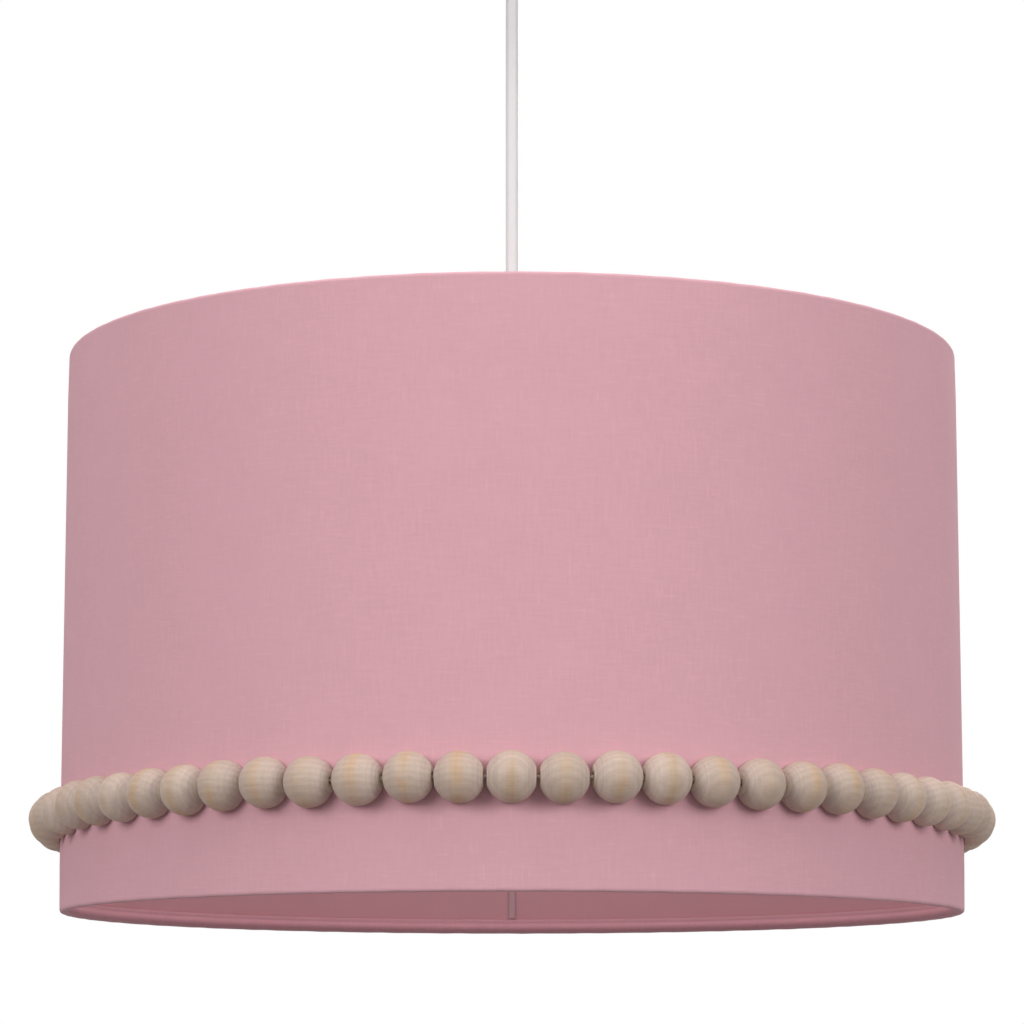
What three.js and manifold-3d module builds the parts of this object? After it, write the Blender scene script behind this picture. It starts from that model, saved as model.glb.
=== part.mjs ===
// A pendant light for a ceiling: a fabric drum shade with one row of wooden beads round its lower part.
// Millimetres, +Z up. The origin is the middle of the face that meets the ceiling, and -Y is the front.
import * as THREE from "three";
import { mergeVertices } from "three/addons/utils/BufferGeometryUtils.js";
import Module from "manifold-3d";

const wasm = await Module();
wasm.setup();

// Clearances
const seatGap = 0.3;
const swingGap = 0.8;
const slideGap = 0.6;
const cutOverrun = 5;

// Shade
const shadeDiameter = 400;
const shadeHeight = 249;
const fabricThickness = 0.8;
const liningThickness = 1;
const edgeWireDiameter = 3;
const hemFlap = 2;
const seamWidth = 3;
const seamThickness = 0.5;

// Beads
const beadDiameter = 20.8;
const beadEndDiameter = 7.5;
const beadBackDepth = 3.3;
const beadSpacing = 1.2;
const beadRowHeight = 40;
const beadRowTilt = THREE.MathUtils.degToRad(1.4);
const threadDiameter = 1.6;

// Shade carrier
const hubRecess = 36;
const hubBand = 6.5;
const hubThickness = 2;
const armDiameter = 2.8;
const armBend = 60;

// Lamp holder
const skirtDiameter = 39;
const skirtLength = 42;
const skirtWall = 3.2;
const flangeLip = 3.5;
const flangeThickness = 3;
const capStraight = 14;
const capRise = 14;
const capWall = 2;
const insertThickness = 13;
const shellRoom = 2;
const shellWaveDepth = 1.2;
const shellWall = 0.8;
const shellLength = 24;
const shellMouthRoom = 4;
const contactDiameter = 6.4;
const contactReach = 4;
const contactHidden = 3;
const contactTravel = 1.5;
const nutWall = 4;
const nutLip = 3;
const nutLipHeight = 2.5;
const nutHeight = 10;

// Cord and the grips that hold it
const cordDiameter = 5.7;
const neckWall = 1.8;
const gripShoulder = 1.6;
const gripChamfer = 1.5;
const holderGripHeight = 13;
const holderGripNeck = 8;
const roseGripHeight = 16;
const roseGripNeck = 9;
const locknutWall = 3;
const locknutHeight = 4;
const tailReach = 6;
const coreDiameter = 2.4;
const coreRise = 10;
const coreSweep = 26;

// Ceiling rose
const roseDiameter = 96;
const roseDepth = 52;
const roseWall = 2;
const roseRimBand = 6;
const roseDraft = 2;
const roseCornerRadius = 9;
const roseToShade = 195;
const bracketWidth = 20;
const bracketThickness = 2;
const earHeight = 20;
const slotLength = 14;
const slotWidth = 5;
const slotOffset = 26;
const fixingDiameter = 4;
const fixingHeadDiameter = 7.6;
const fixingHeadHeight = 2.6;
const fixingLength = 9;
const fixingDrop = 13;
const terminalPitch = 10;
const terminalBlockWidth = 17;
const terminalBlockHeight = 14;
const terminalWellDiameter = 4.2;
const terminalWellDepth = 5;

// Counts
const armCount = 3;
const beadRunCount = 31;
const runBeadCount = 2;
const beadSides = 8;
const beadBands = 4;
const threadSides = 4;
const wireSides = 6;
const armSides = 6;
const armSteps = 8;
const coreSides = 6;
const coreSteps = 8;
const cordSides = 8;
const hemSteps = 5;
const domeSteps = 4;
const cornerSteps = 4;
const shellTurns = 3;
const roseSides = 36;
const holderSides = 24;
const smallSides = 12;
const hexSides = 6;

// Levels, all below the ceiling face
const roseBottom = -roseDepth;
const shadeTop = roseBottom - roseToShade;
const shadeBottom = shadeTop - shadeHeight;
const hubTop = shadeTop - hubRecess;

// Materials
const paint = (color, roughness, metalness = 0) =>
  new THREE.MeshStandardMaterial({ color, roughness, metalness });
const pinkCotton = () => paint(0xd4a5ab, 0.95);
const dustyBacking = () => paint(0x9e6e73, 0.9);
const paleTape = () => paint(0xb9a8ab, 0.8);
const rawWood = () => paint(0xd2b89c, 0.7);
const whiteMetal = () => paint(0xe9e9e7, 0.4, 0.1);
const whitePlastic = () => paint(0xf1f1ef, 0.35);
const whiteFlex = () => paint(0xe8e8e8, 0.5);
const zincSteel = () => paint(0xb4b7ba, 0.35, 0.9);
const brass = () => paint(0xc9a85a, 0.3, 0.9);
const ceramic = () => paint(0xefece4, 0.3);
const brownCore = () => paint(0x6b3f26, 0.5);
const blueCore = () => paint(0x2f5f9e, 0.5);

// A closed solid for joining and cutting, from position data with shared corners merged.
function solidOf(geometry) {
  const bare = geometry.clone();
  bare.deleteAttribute("normal");
  bare.deleteAttribute("uv");
  const merged = mergeVertices(bare);
  return new wasm.Manifold(
    new wasm.Mesh({
      numProp: 3,
      vertProperties: merged.attributes.position.array,
      triVerts: new Uint32Array(merged.index.array),
    }),
  );
}

function geometryOf(solid) {
  const mesh = solid.getMesh();
  const geometry = new THREE.BufferGeometry();
  geometry.setAttribute("position", new THREE.BufferAttribute(mesh.vertProperties, mesh.numProp));
  geometry.setIndex(new THREE.BufferAttribute(mesh.triVerts, 1));
  geometry.computeVertexNormals();
  return geometry;
}

const cut = (base, tools) =>
  geometryOf(tools.reduce((left, tool) => left.subtract(solidOf(tool)), solidOf(base)));

const join = (parts) =>
  geometryOf(parts.slice(1).reduce((sum, part) => sum.add(solidOf(part)), solidOf(parts[0])));

// Signed area of an outline of [radius, height] points, positive when it runs anticlockwise.
const signedArea = (outline) =>
  outline.reduce((sum, [r, z], i) => {
    const [nextR, nextZ] = outline[(i + 1) % outline.length];
    return sum + (r * nextZ - nextR * z) / 2;
  }, 0);

// A solid turned about Z from an outline of [radius, height] points. The middle of one of its flat
// sides faces the front, so round pieces with the same number of sides lie parallel.
function turned(outline, sides) {
  const ordered = signedArea(outline) > 0 ? outline : [...outline].reverse();
  const points = ordered.map(([r, z]) => new THREE.Vector2(r, z));
  const start = ordered.findIndex(([r], i) => r === 0 && ordered.at(i - 1)[0] === 0);
  const chain =
    start < 0 ? [...points, points[0].clone()] : [...points.slice(start), ...points.slice(0, start)];
  return new THREE.LatheGeometry(chain, sides, Math.PI / sides).rotateX(Math.PI / 2);
}

// Outline of a cylinder or, with a bore, of a tube.
const barrel = (diameter, bottom, top, bore = 0) => [
  [bore / 2, bottom],
  [diameter / 2, bottom],
  [diameter / 2, top],
  [bore / 2, top],
];

// Outline of a strip of even thickness along a path of [radius, height] points.
function strip(path, thickness) {
  const normals = path.slice(1).map(([r, z], i) => {
    const along = new THREE.Vector2(r - path[i][0], z - path[i][1]).normalize();
    return new THREE.Vector2(-along.y, along.x);
  });
  const offset = (side) =>
    path.map(([r, z], i) => {
      const before = normals[Math.max(i - 1, 0)];
      const after = normals[Math.min(i, normals.length - 1)];
      const reach = (side * thickness) / 2 / (1 + before.dot(after));
      return [r + reach * (before.x + after.x), z + reach * (before.y + after.y)];
    });
  return [...offset(1), ...offset(-1).reverse()];
}

const turnedPart = (outline, sides = holderSides) => turned(outline, sides);
const rod = (diameter, bottom, top, sides = smallSides) => turned(barrel(diameter, bottom, top), sides);
const alongX = (geometry) => geometry.rotateY(Math.PI / 2);

// A round bar along a curve.
function bar(curve, diameter, sides, steps) {
  const corners = Array.from({ length: sides }, (_, i) => {
    const turn = (i / sides) * 2 * Math.PI;
    return new THREE.Vector2(Math.cos(turn), Math.sin(turn)).multiplyScalar(diameter / 2);
  });
  return new THREE.ExtrudeGeometry(new THREE.Shape(corners), {
    steps,
    extrudePath: curve,
    bevelEnabled: false,
  });
}

// A point at a bearing round the axis, counted from the front.
const around = (radius, bearing, z) =>
  new THREE.Vector3(radius * Math.sin(bearing), -radius * Math.cos(bearing), z);

const lamp = new THREE.Group();

function add(name, geometry, material, parent = lamp) {
  const mesh = new THREE.Mesh(geometry, material);
  mesh.name = name;
  parent.add(mesh);
  return mesh;
}

// The bead row sets how many flat sides the drum has, so that each bead's flat back lies on one.
const shadeRadius = shadeDiameter / 2;
const beadRadius = beadDiameter / 2;
const beadLength = 2 * Math.sqrt(beadRadius ** 2 - (beadEndDiameter / 2) ** 2);
const beadBackHalf = Math.sqrt(beadRadius ** 2 - beadBackDepth ** 2);
const beadLean = beadBackHalf * Math.sin(beadRowTilt) + shadeRadius * (1 - Math.cos(beadRowTilt));
const beadStandOff = seatGap + beadLean + beadBackDepth;
const beadCount = Math.floor(
  (2 * Math.PI * (shadeRadius + beadStandOff)) / (beadLength + beadSpacing),
);
const halfStep = Math.PI / beadCount;
const flatShare = Math.cos(halfStep);
const beadCircle = shadeRadius * flatShare + beadStandOff;

// Two edge wires, which the fabric is turned over.
const wireRadius = edgeWireDiameter / 2;
const hemRadius = wireRadius + seatGap + fabricThickness;
const wireCircle = shadeRadius - hemRadius;
const topWireLevel = shadeTop - hemRadius;
const bottomWireLevel = shadeBottom + hemRadius;
const wireOutline = (level) =>
  Array.from({ length: wireSides }, (_, i) => {
    const turn = ((i + 1 / 2) / wireSides) * 2 * Math.PI;
    return [wireCircle + wireRadius * Math.cos(turn), level + wireRadius * Math.sin(turn)];
  });
add("top_wire", turned(wireOutline(topWireLevel), beadCount), whiteMetal());
add("bottom_wire", turned(wireOutline(bottomWireLevel), beadCount), whiteMetal());

// Stiff lining, a sleeve that stands between the two wires inside the fabric.
const liningOuter = shadeRadius - fabricThickness - seatGap;
const liningInner = liningOuter - liningThickness;
const liningOutline = barrel(
  2 * liningOuter,
  bottomWireLevel + wireRadius + seatGap,
  topWireLevel - wireRadius - seatGap,
  2 * liningInner,
);
add("lining", turned(liningOutline, beadCount), dustyBacking());

// Fabric cover, one strip up the outside that turns in round each wire and ends on the lining.
const flapCircle = liningInner - seatGap - fabricThickness / 2;
const foldRadius = hemRadius - fabricThickness / 2;
const foldStep = Math.PI / 4;
function hemPath(edge, inward) {
  const level = edge + inward * hemRadius;
  const reach = foldRadius / Math.cos(foldStep / 2);
  const fold = Array.from({ length: hemSteps }, (_, i) => {
    const turn = -(i + 1 / 2) * foldStep;
    return [wireCircle + reach * Math.cos(turn), level + inward * reach * Math.sin(turn)];
  });
  const [lastRadius, lastLevel] = fold.at(-1);
  const bendLevel = lastLevel + inward * (flapCircle - lastRadius);
  return [...fold, [flapCircle, bendLevel], [flapCircle, bendLevel + inward * hemFlap]];
}
const bottomHem = hemPath(shadeBottom, 1);
const topHem = hemPath(shadeTop, -1);
const coverOutline = strip([...bottomHem.reverse(), ...topHem], fabricThickness);
const bottomFlapEnd = bottomHem[0][1];
const topFlapEnd = topHem.at(-1)[1];

// Slits in the top hem let the carrier's arms through to the wire.
const armRadius = armDiameter / 2;
const slitTop = topWireLevel + armRadius + seatGap;
const slitBottom = topFlapEnd - cutOverrun;
const slitInner = wireCircle - hemRadius - cutOverrun;
const armBearings = Array.from({ length: armCount }, (_, i) => Math.PI + (i / armCount) * 2 * Math.PI);
const slits = armBearings.map((bearing) =>
  new THREE.BoxGeometry(armDiameter + 2 * seatGap, liningInner - slitInner, slitTop - slitBottom)
    .translate(0, -(liningInner + slitInner) / 2, (slitTop + slitBottom) / 2)
    .rotateZ(bearing),
);
add("fabric_cover", cut(turned(coverOutline, beadCount), slits), pinkCotton());

// Tape over the lining's joint, inside at the back.
const tapeBottom = bottomFlapEnd + seatGap;
const tapeTop = topFlapEnd - seatGap;
const tape = add(
  "seam_tape",
  new THREE.BoxGeometry(seamWidth, seamThickness, tapeTop - tapeBottom),
  paleTape(),
);
tape.position.set(
  0,
  liningInner * flatShare - seatGap - seamThickness / 2,
  (tapeTop + tapeBottom) / 2,
);

// One wooden bead with its hole along X: a ball with its two ends and its back cut flat.
const endAngle = Math.acos(beadEndDiameter / 2 / beadRadius);
const beadArc = Array.from({ length: beadBands + 1 }, (_, i) => {
  const turn = endAngle * ((2 * i) / beadBands - 1);
  return [beadRadius * Math.cos(turn), beadRadius * Math.sin(turn)];
});
const beadOutline = [[0, -beadLength / 2], ...beadArc, [0, beadLength / 2]];
const backCut = new THREE.BoxGeometry(
  beadLength + 2 * cutOverrun,
  beadDiameter,
  beadDiameter + 2 * cutOverrun,
).translate(0, beadBackDepth + beadRadius, 0);
const bead = cut(alongX(turned(beadOutline, beadSides)), [backCut]);

// The row, in runs of beads joined by the thread that fills their holes. It dips towards the back.
const threadStep = 2 * beadCircle * Math.tan(halfStep);
const threadMitre = (threadDiameter / 2) * Math.tan(halfStep);
const beadRow = new THREE.Group();
beadRow.position.z = shadeBottom + beadRowHeight;
beadRow.rotation.x = -beadRowTilt;
lamp.add(beadRow);
function beadRun(first, last) {
  const parts = [];
  for (let i = first; i <= last; i += 1) {
    const start = -threadStep / 2 + (i === first ? seatGap / 2 : -threadMitre);
    const end = threadStep / 2 - (i === last ? seatGap / 2 : -threadMitre);
    const thread = alongX(rod(threadDiameter, start, end, threadSides));
    for (const part of [bead.clone(), thread]) {
      parts.push(part.translate(0, -beadCircle, 0).rotateZ(2 * halfStep * i));
    }
  }
  return join(parts);
}
const beadRuns = Math.min(beadRunCount, Math.floor(beadCount / runBeadCount));
for (let run = 0; run < beadRuns; run += 1) {
  const first = Math.floor((run * beadCount) / beadRuns);
  const last = Math.floor(((run + 1) * beadCount) / beadRuns) - 1;
  const name = `bead_run_${String(run + 1).padStart(2, "0")}`;
  add(name, beadRun(first, last), rawWood(), beadRow);
}

// Carrier: a flat hub that hangs on the lamp holder, and bent wire arms out to the top wire.
const hubBore = skirtDiameter + 2 * slideGap;
const hubDiameter = hubBore + 2 * hubBand;
add(
  "carrier_hub",
  turnedPart(barrel(hubDiameter, hubTop - hubThickness, hubTop, hubBore)),
  whiteMetal(),
);
const armStart = hubDiameter / 2 + seatGap;
const armEnd = (wireCircle - wireRadius) * flatShare - seatGap;
armBearings.forEach((bearing, i) => {
  const hubLevel = hubTop - hubThickness / 2;
  const curve = new THREE.CubicBezierCurve3(
    around(armStart, bearing, hubLevel),
    around(armStart + armBend, bearing, hubLevel),
    around(armEnd - armBend, bearing, topWireLevel),
    around(armEnd, bearing, topWireLevel),
  );
  add(`carrier_arm_${i + 1}`, bar(curve, armDiameter, armSides, armSteps), whiteMetal());
});

// Lamp holder skirt, whose flange stands on the hub.
const flangeBottom = hubTop + seatGap;
const flangeTop = flangeBottom + flangeThickness;
const flangeDiameter = skirtDiameter + 2 * flangeLip;
const skirtBore = skirtDiameter - 2 * skirtWall;
const skirtMouth = flangeBottom - skirtLength;
const skirtOutline = [
  [skirtBore / 2, skirtMouth],
  [skirtDiameter / 2, skirtMouth],
  [skirtDiameter / 2, flangeBottom],
  [flangeDiameter / 2, flangeBottom],
  [flangeDiameter / 2, flangeTop],
  [skirtBore / 2, flangeTop],
];
add("holder_skirt", turnedPart(skirtOutline), whitePlastic());

// Ring nut that is screwed up the skirt to hold the hub.
const nutTop = hubTop - hubThickness - seatGap;
const nutBore = skirtDiameter + 2 * slideGap;
const nutOutline = [
  [nutBore / 2, nutTop - nutHeight],
  [nutBore / 2 + nutWall, nutTop - nutHeight],
  [nutBore / 2 + nutWall, nutTop - nutLipHeight],
  [nutBore / 2 + nutWall + nutLip, nutTop - nutLipHeight],
  [nutBore / 2 + nutWall + nutLip, nutTop],
  [nutBore / 2, nutTop],
];
add("ring_nut", turnedPart(nutOutline), whitePlastic());

// Ceramic insert in the top of the skirt, with a blind hole for the centre contact.
const insertBottom = flangeTop - insertThickness;
const contactWell = contactDiameter + 2 * seatGap;
const contactWellTop = insertBottom + contactHidden + contactTravel + seatGap;
const insertDiameter = skirtBore - 2 * seatGap;
const insertOutline = [
  [contactWell / 2, insertBottom],
  [insertDiameter / 2, insertBottom],
  [insertDiameter / 2, flangeTop],
  [0, flangeTop],
  [0, contactWellTop],
  [contactWell / 2, contactWellTop],
];
add("holder_insert", turnedPart(insertOutline), ceramic());
add(
  "centre_contact",
  rod(contactDiameter, insertBottom - contactReach, insertBottom + contactHidden),
  brass(),
);

// Screw shell under the insert: a brass cup with a waved wall and an open top for the contact.
const shellTop = insertBottom - seatGap;
const shellRadius = insertDiameter / 2 - shellRoom;
const waveLevel = (i) => shellTop - shellWall - (i / (2 * shellTurns)) * (shellLength - shellWall);
const waveOutline = (radius) =>
  Array.from({ length: 2 * shellTurns + 1 }, (_, i) => [
    radius - (i % 2 ? 0 : shellWaveDepth),
    waveLevel(i),
  ]);
const mouthRadius = contactDiameter / 2 + shellMouthRoom;
const shellOutline = [
  [mouthRadius, shellTop],
  [shellRadius - shellWaveDepth, shellTop],
  ...waveOutline(shellRadius),
  ...waveOutline(shellRadius - shellWall).reverse(),
  [mouthRadius, shellTop - shellWall],
];
add("screw_shell", turnedPart(shellOutline), brass());

// Domed cap over the holder's wiring.
const capBase = flangeTop + seatGap;
const capTop = capBase + capStraight + capRise;
const neckDiameter = cordDiameter + 2 * (seatGap + neckWall);
const gripDiameter = neckDiameter + 2 * gripShoulder;
const capHole = neckDiameter / 2 + seatGap;
const domeOutline = (radius, crown, rise) =>
  Array.from({ length: domeSteps + 1 }, (_, i) => {
    const turn = ((i / domeSteps) * Math.PI) / 2;
    return [crown + (radius - crown) * Math.cos(turn), capBase + capStraight + rise * Math.sin(turn)];
  });
const crownRadius = gripDiameter / 2 + gripShoulder;
const capOutline = [
  [flangeDiameter / 2, capBase],
  ...domeOutline(flangeDiameter / 2, crownRadius, capRise),
  [capHole, capTop],
  [capHole, capTop - capWall],
  ...domeOutline(flangeDiameter / 2 - capWall, crownRadius, capRise - capWall).reverse(),
  [flangeDiameter / 2 - capWall, capBase],
];
add("holder_cap", turnedPart(capOutline), whitePlastic());

// Cord grip: a turned bush on a plate, with a neck through the plate's hole.
const gripBore = cordDiameter / 2 + seatGap;
const gripOutline = (seat, outward, height, neck) => [
  [gripBore, seat - outward * neck],
  [neckDiameter / 2, seat - outward * neck],
  [neckDiameter / 2, seat],
  [gripDiameter / 2, seat],
  [gripDiameter / 2, seat + outward * (height - gripChamfer)],
  [gripDiameter / 2 - gripChamfer, seat + outward * height],
  [gripBore, seat + outward * height],
];
const holderGripSeat = capTop + seatGap;
const holderGripTop = holderGripSeat + holderGripHeight;
const holderTailEnd = holderGripSeat - holderGripNeck - tailReach;
add(
  "holder_cord_grip",
  turnedPart(gripOutline(holderGripSeat, 1, holderGripHeight, holderGripNeck), smallSides),
  whitePlastic(),
);
add("holder_cord_tail", rod(cordDiameter, holderTailEnd, holderGripTop, cordSides), whiteFlex());

const roseGripSeat = roseBottom - seatGap;
const roseGripEnd = roseGripSeat - roseGripHeight;
const roseTailTop = roseGripSeat + roseGripNeck + tailReach;
add(
  "rose_cord_grip",
  turnedPart(gripOutline(roseGripSeat, -1, roseGripHeight, roseGripNeck), smallSides),
  whitePlastic(),
);
add("rose_cord_tail", rod(cordDiameter, roseGripEnd, roseTailTop, cordSides), whiteFlex());

// Locknut on the rose grip's neck, inside the rose.
const locknutBottom = roseBottom + roseWall + seatGap;
const locknutTop = locknutBottom + locknutHeight;
const locknutBore = neckDiameter + 2 * seatGap;
add(
  "rose_locknut",
  cut(rod(locknutBore + 2 * locknutWall, locknutBottom, locknutTop, hexSides), [
    rod(locknutBore, locknutBottom - cutOverrun, locknutTop + cutOverrun),
  ]),
  zincSteel(),
);

// The free cord, straight down between the two grips.
const cordTop = roseGripEnd - swingGap;
const cordBottom = holderGripTop + swingGap;
const cordLine = new THREE.LineCurve3(
  new THREE.Vector3(0, 0, cordTop),
  new THREE.Vector3(0, 0, cordBottom),
);
const cordSteps = Math.ceil((cordTop - cordBottom) / (3 * cordDiameter));
add("pendant_cord", bar(cordLine, cordDiameter, cordSides, cordSteps), whiteFlex());

// Rose cover: a drawn cup with a straight rim band, a slight taper and a rounded lower corner.
const roseRadius = roseDiameter / 2;
const roseWallCentre = roseRadius - roseWall / 2;
const cornerCentre = {
  radius: roseWallCentre - roseDraft - roseCornerRadius,
  level: roseBottom + roseWall / 2 + roseCornerRadius,
};
const roseCorner = Array.from({ length: cornerSteps + 1 }, (_, i) => {
  const turn = ((i / cornerSteps) * Math.PI) / 2;
  return [
    cornerCentre.radius + roseCornerRadius * Math.cos(turn),
    cornerCentre.level - roseCornerRadius * Math.sin(turn),
  ];
});
const rosePath = [
  [roseWallCentre, 0],
  [roseWallCentre, -roseRimBand],
  ...roseCorner,
  [capHole, roseBottom + roseWall / 2],
];
const wallCentreAt = (level) =>
  roseWallCentre + (roseDraft * (level + roseRimBand)) / (-roseRimBand - cornerCentre.level);
const fixingHole = alongX(
  rod(fixingDiameter + 2 * seatGap, -roseDiameter, roseDiameter),
).translate(0, 0, -fixingDrop);
add("rose_cover", cut(turned(strip(rosePath, roseWall), roseSides), [fixingHole]), whiteMetal());

// Steel strap on the ceiling, with slots for its screws and ears that hold the cover.
const earLevel = -earHeight;
const coverInside = (wallCentreAt(earLevel) - roseWall / 2) * Math.cos(Math.PI / roseSides) - seatGap;
const earFace = Math.sqrt(coverInside ** 2 - (bracketWidth / 2) ** 2);
const strapOutline = new THREE.Shape([
  new THREE.Vector2(-earFace, earLevel),
  new THREE.Vector2(-earFace + bracketThickness, earLevel),
  new THREE.Vector2(-earFace + bracketThickness, -bracketThickness),
  new THREE.Vector2(earFace - bracketThickness, -bracketThickness),
  new THREE.Vector2(earFace - bracketThickness, earLevel),
  new THREE.Vector2(earFace, earLevel),
  new THREE.Vector2(earFace, 0),
  new THREE.Vector2(-earFace, 0),
]);
const strap = new THREE.ExtrudeGeometry(strapOutline, { depth: bracketWidth, bevelEnabled: false })
  .translate(0, 0, -bracketWidth / 2)
  .rotateX(Math.PI / 2);
const slotDepth = bracketThickness + cutOverrun;
const slots = [-1, 1].map((side) =>
  new THREE.BoxGeometry(slotLength, slotWidth, slotDepth).translate(side * slotOffset, 0, 0),
);
add("ceiling_bracket", cut(strap, [fixingHole, ...slots]), zincSteel());

// Cover fixings: a pan-headed screw through the cover and the ear on each side.
const headSeat = wallCentreAt(-fixingDrop) + roseWall / 2 + seatGap;
const fixingOutline = [
  [0, headSeat - fixingLength],
  [fixingDiameter / 2, headSeat - fixingLength],
  [fixingDiameter / 2, headSeat],
  [fixingHeadDiameter / 2, headSeat],
  [fixingHeadDiameter / 2, headSeat + fixingHeadHeight / 2],
  [fixingDiameter / 2, headSeat + fixingHeadHeight],
  [0, headSeat + fixingHeadHeight],
];
["right", "left"].forEach((side, i) => {
  const fixing = alongX(turnedPart(fixingOutline, smallSides)).rotateZ(i * Math.PI);
  add(`rose_fixing_${side}`, fixing.translate(0, 0, -fixingDrop), zincSteel());
});

// Terminal block under the strap, with two rows of wire holes, and the cord's two cores.
const blockTop = -bracketThickness - seatGap;
const blockMiddle = blockTop - terminalBlockHeight / 2;
const blockSide = terminalBlockWidth / 2;
const wireHoles = [-terminalPitch, 0, terminalPitch].flatMap((x) =>
  [-1, 1].map((side) =>
    rod(terminalWellDiameter, blockSide - terminalWellDepth, blockSide + cutOverrun, smallSides)
      .rotateX((side * Math.PI) / 2)
      .translate(x, 0, blockMiddle),
  ),
);
const blockBody = new THREE.BoxGeometry(3 * terminalPitch, terminalBlockWidth, terminalBlockHeight);
add("terminal_block", cut(blockBody.translate(0, 0, blockMiddle), wireHoles), whitePlastic());
const coreSpread = (coreDiameter + seatGap) / 2;
const coreStart = roseTailTop + seatGap;
const coreEnd = terminalWellDepth - blockSide - seatGap;
[["rose_brown_core", -1, brownCore()], ["rose_blue_core", 1, blueCore()]].forEach(
  ([name, side, material]) => {
    const curve = new THREE.CubicBezierCurve3(
      new THREE.Vector3(side * coreSpread, 0, coreStart),
      new THREE.Vector3(side * coreSpread, 0, coreStart + coreRise),
      new THREE.Vector3(side * terminalPitch, coreEnd - coreSweep, blockMiddle),
      new THREE.Vector3(side * terminalPitch, coreEnd, blockMiddle),
    );
    add(name, bar(curve, coreDiameter, coreSides, coreSteps), material);
  },
);

export default lamp;
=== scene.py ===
# A pendant light: a pink cotton drum shade with one row of raw wooden beads, on a white cord.
# Metres, +Z up. The origin is the middle of the face that meets the ceiling, and -Y is the front.
import math

import bmesh
import bpy
from mathutils import Matrix, Vector


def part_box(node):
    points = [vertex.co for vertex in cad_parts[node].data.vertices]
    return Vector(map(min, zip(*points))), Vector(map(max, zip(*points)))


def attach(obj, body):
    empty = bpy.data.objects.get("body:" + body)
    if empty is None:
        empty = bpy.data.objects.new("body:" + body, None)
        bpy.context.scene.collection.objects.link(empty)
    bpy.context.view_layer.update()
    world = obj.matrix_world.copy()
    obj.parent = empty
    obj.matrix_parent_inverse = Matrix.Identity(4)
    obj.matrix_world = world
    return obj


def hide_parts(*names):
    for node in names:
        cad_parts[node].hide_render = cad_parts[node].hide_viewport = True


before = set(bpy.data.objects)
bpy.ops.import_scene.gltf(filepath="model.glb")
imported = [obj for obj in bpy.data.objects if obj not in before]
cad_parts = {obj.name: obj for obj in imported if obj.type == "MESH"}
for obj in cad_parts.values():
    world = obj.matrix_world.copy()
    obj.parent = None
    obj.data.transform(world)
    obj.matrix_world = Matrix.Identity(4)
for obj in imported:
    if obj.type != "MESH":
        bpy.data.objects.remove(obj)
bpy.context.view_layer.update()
MM = 0.001
FULL_TURN = 2 * math.pi
cover_low, cover_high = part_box("fabric_cover")

# Camera. It stands in front of the shade and a little below its lower rim, pitched up, so that the
# inside of the back wall shows under the front edge.
lens_mm = 131.9
sensor_mm = 36
camera_distance = 1675 * MM
camera_below_rim = 77.5 * MM
camera_pitch = math.radians(8.79)
camera_reach = 100


def added(name, data):
    """A new object in the scene."""
    thing = bpy.data.objects.new(name, data)
    bpy.context.scene.collection.objects.link(thing)
    return thing


camera_data = bpy.data.cameras.new("camera")
camera_data.lens = lens_mm
camera_data.sensor_width = sensor_mm
camera_data.clip_end = camera_reach
camera = added("camera", camera_data)
camera.location = (0, -camera_distance, cover_low.z - camera_below_rim)
camera.rotation_euler = (math.pi / 2 + camera_pitch, 0, 0)
bpy.context.scene.camera = camera

# Studio: a plain pale floor a room's height below the ceiling, an even white surround, one large
# soft lamp overhead, one at each side of the camera and one behind the shade. Each lamp has its
# place, its watts and its width.
room_height = 3.4
floor_radius = 60
floor_sides = 96
floor_roughness = 0.9
surround_level = 0.325
white = (1, 1, 1, 1)
black = (0, 0, 0, 1)
floor_bounce = (0.42, 0.41, 0.4, 1)
floor_seen = (0.93, 0.93, 0.93, 1)
floor_glow = (0.36, 0.36, 0.36, 1)
lamps = {
    "overhead_lamp": ((0, -0.25, 1.5), 26, 2.0),
    "left_lamp": ((-1.95, -2.2, 0.45), 40, 1.4),
    "right_lamp": ((2.05, -2.15, 0.45), 40, 1.4),
    "back_lamp": ((0.6, 3.0, 0.8), 54, 1.5),
}


class Flow:
    """What a node's output carries. A sum with it adds a Math node to its tree."""

    def __init__(self, socket):
        self.socket = socket
        self.tree = socket.id_data

    def __add__(self, other):
        return maths("ADD", self, other)

    def __sub__(self, other):
        return maths("SUBTRACT", self, other)

    def __mul__(self, other):
        return maths("MULTIPLY", self, other)

    def __truediv__(self, other):
        return maths("DIVIDE", self, other)

    def into(self, socket):
        """Links it to the input of another node."""
        self.tree.links.new(self.socket, socket)


def outputs_of(node):
    """A node's outputs, by their numbers and by their names."""
    return {key: Flow(socket) for i, socket in enumerate(node.outputs) for key in (i, socket.name)}


def fed(tree, kind, inputs=None, **settings):
    """The outputs of a new node with its settings and, by name or number, what its inputs get."""
    node = tree.nodes.new(kind)
    for name, value in settings.items():
        setattr(node, name, value)
    for name, value in (inputs or {}).items():
        if isinstance(value, Flow):
            value.into(node.inputs[name])
        else:
            node.inputs[name].default_value = value
    return outputs_of(node)


def tree_among(values):
    """The node tree that the first flow among some values is in."""
    return next(value.tree for value in values if isinstance(value, Flow))


def maths(operation, *values):
    """The result of one Math node."""
    return fed(tree_among(values), "ShaderNodeMath", dict(enumerate(values)), operation=operation)[0]


def blended(share, first, second):
    """The first colour at a share of 0 and the second at 1."""
    return fed(share.tree, "ShaderNodeMix", {0: share, 6: first, 7: second}, data_type="RGBA")[2]


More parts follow.
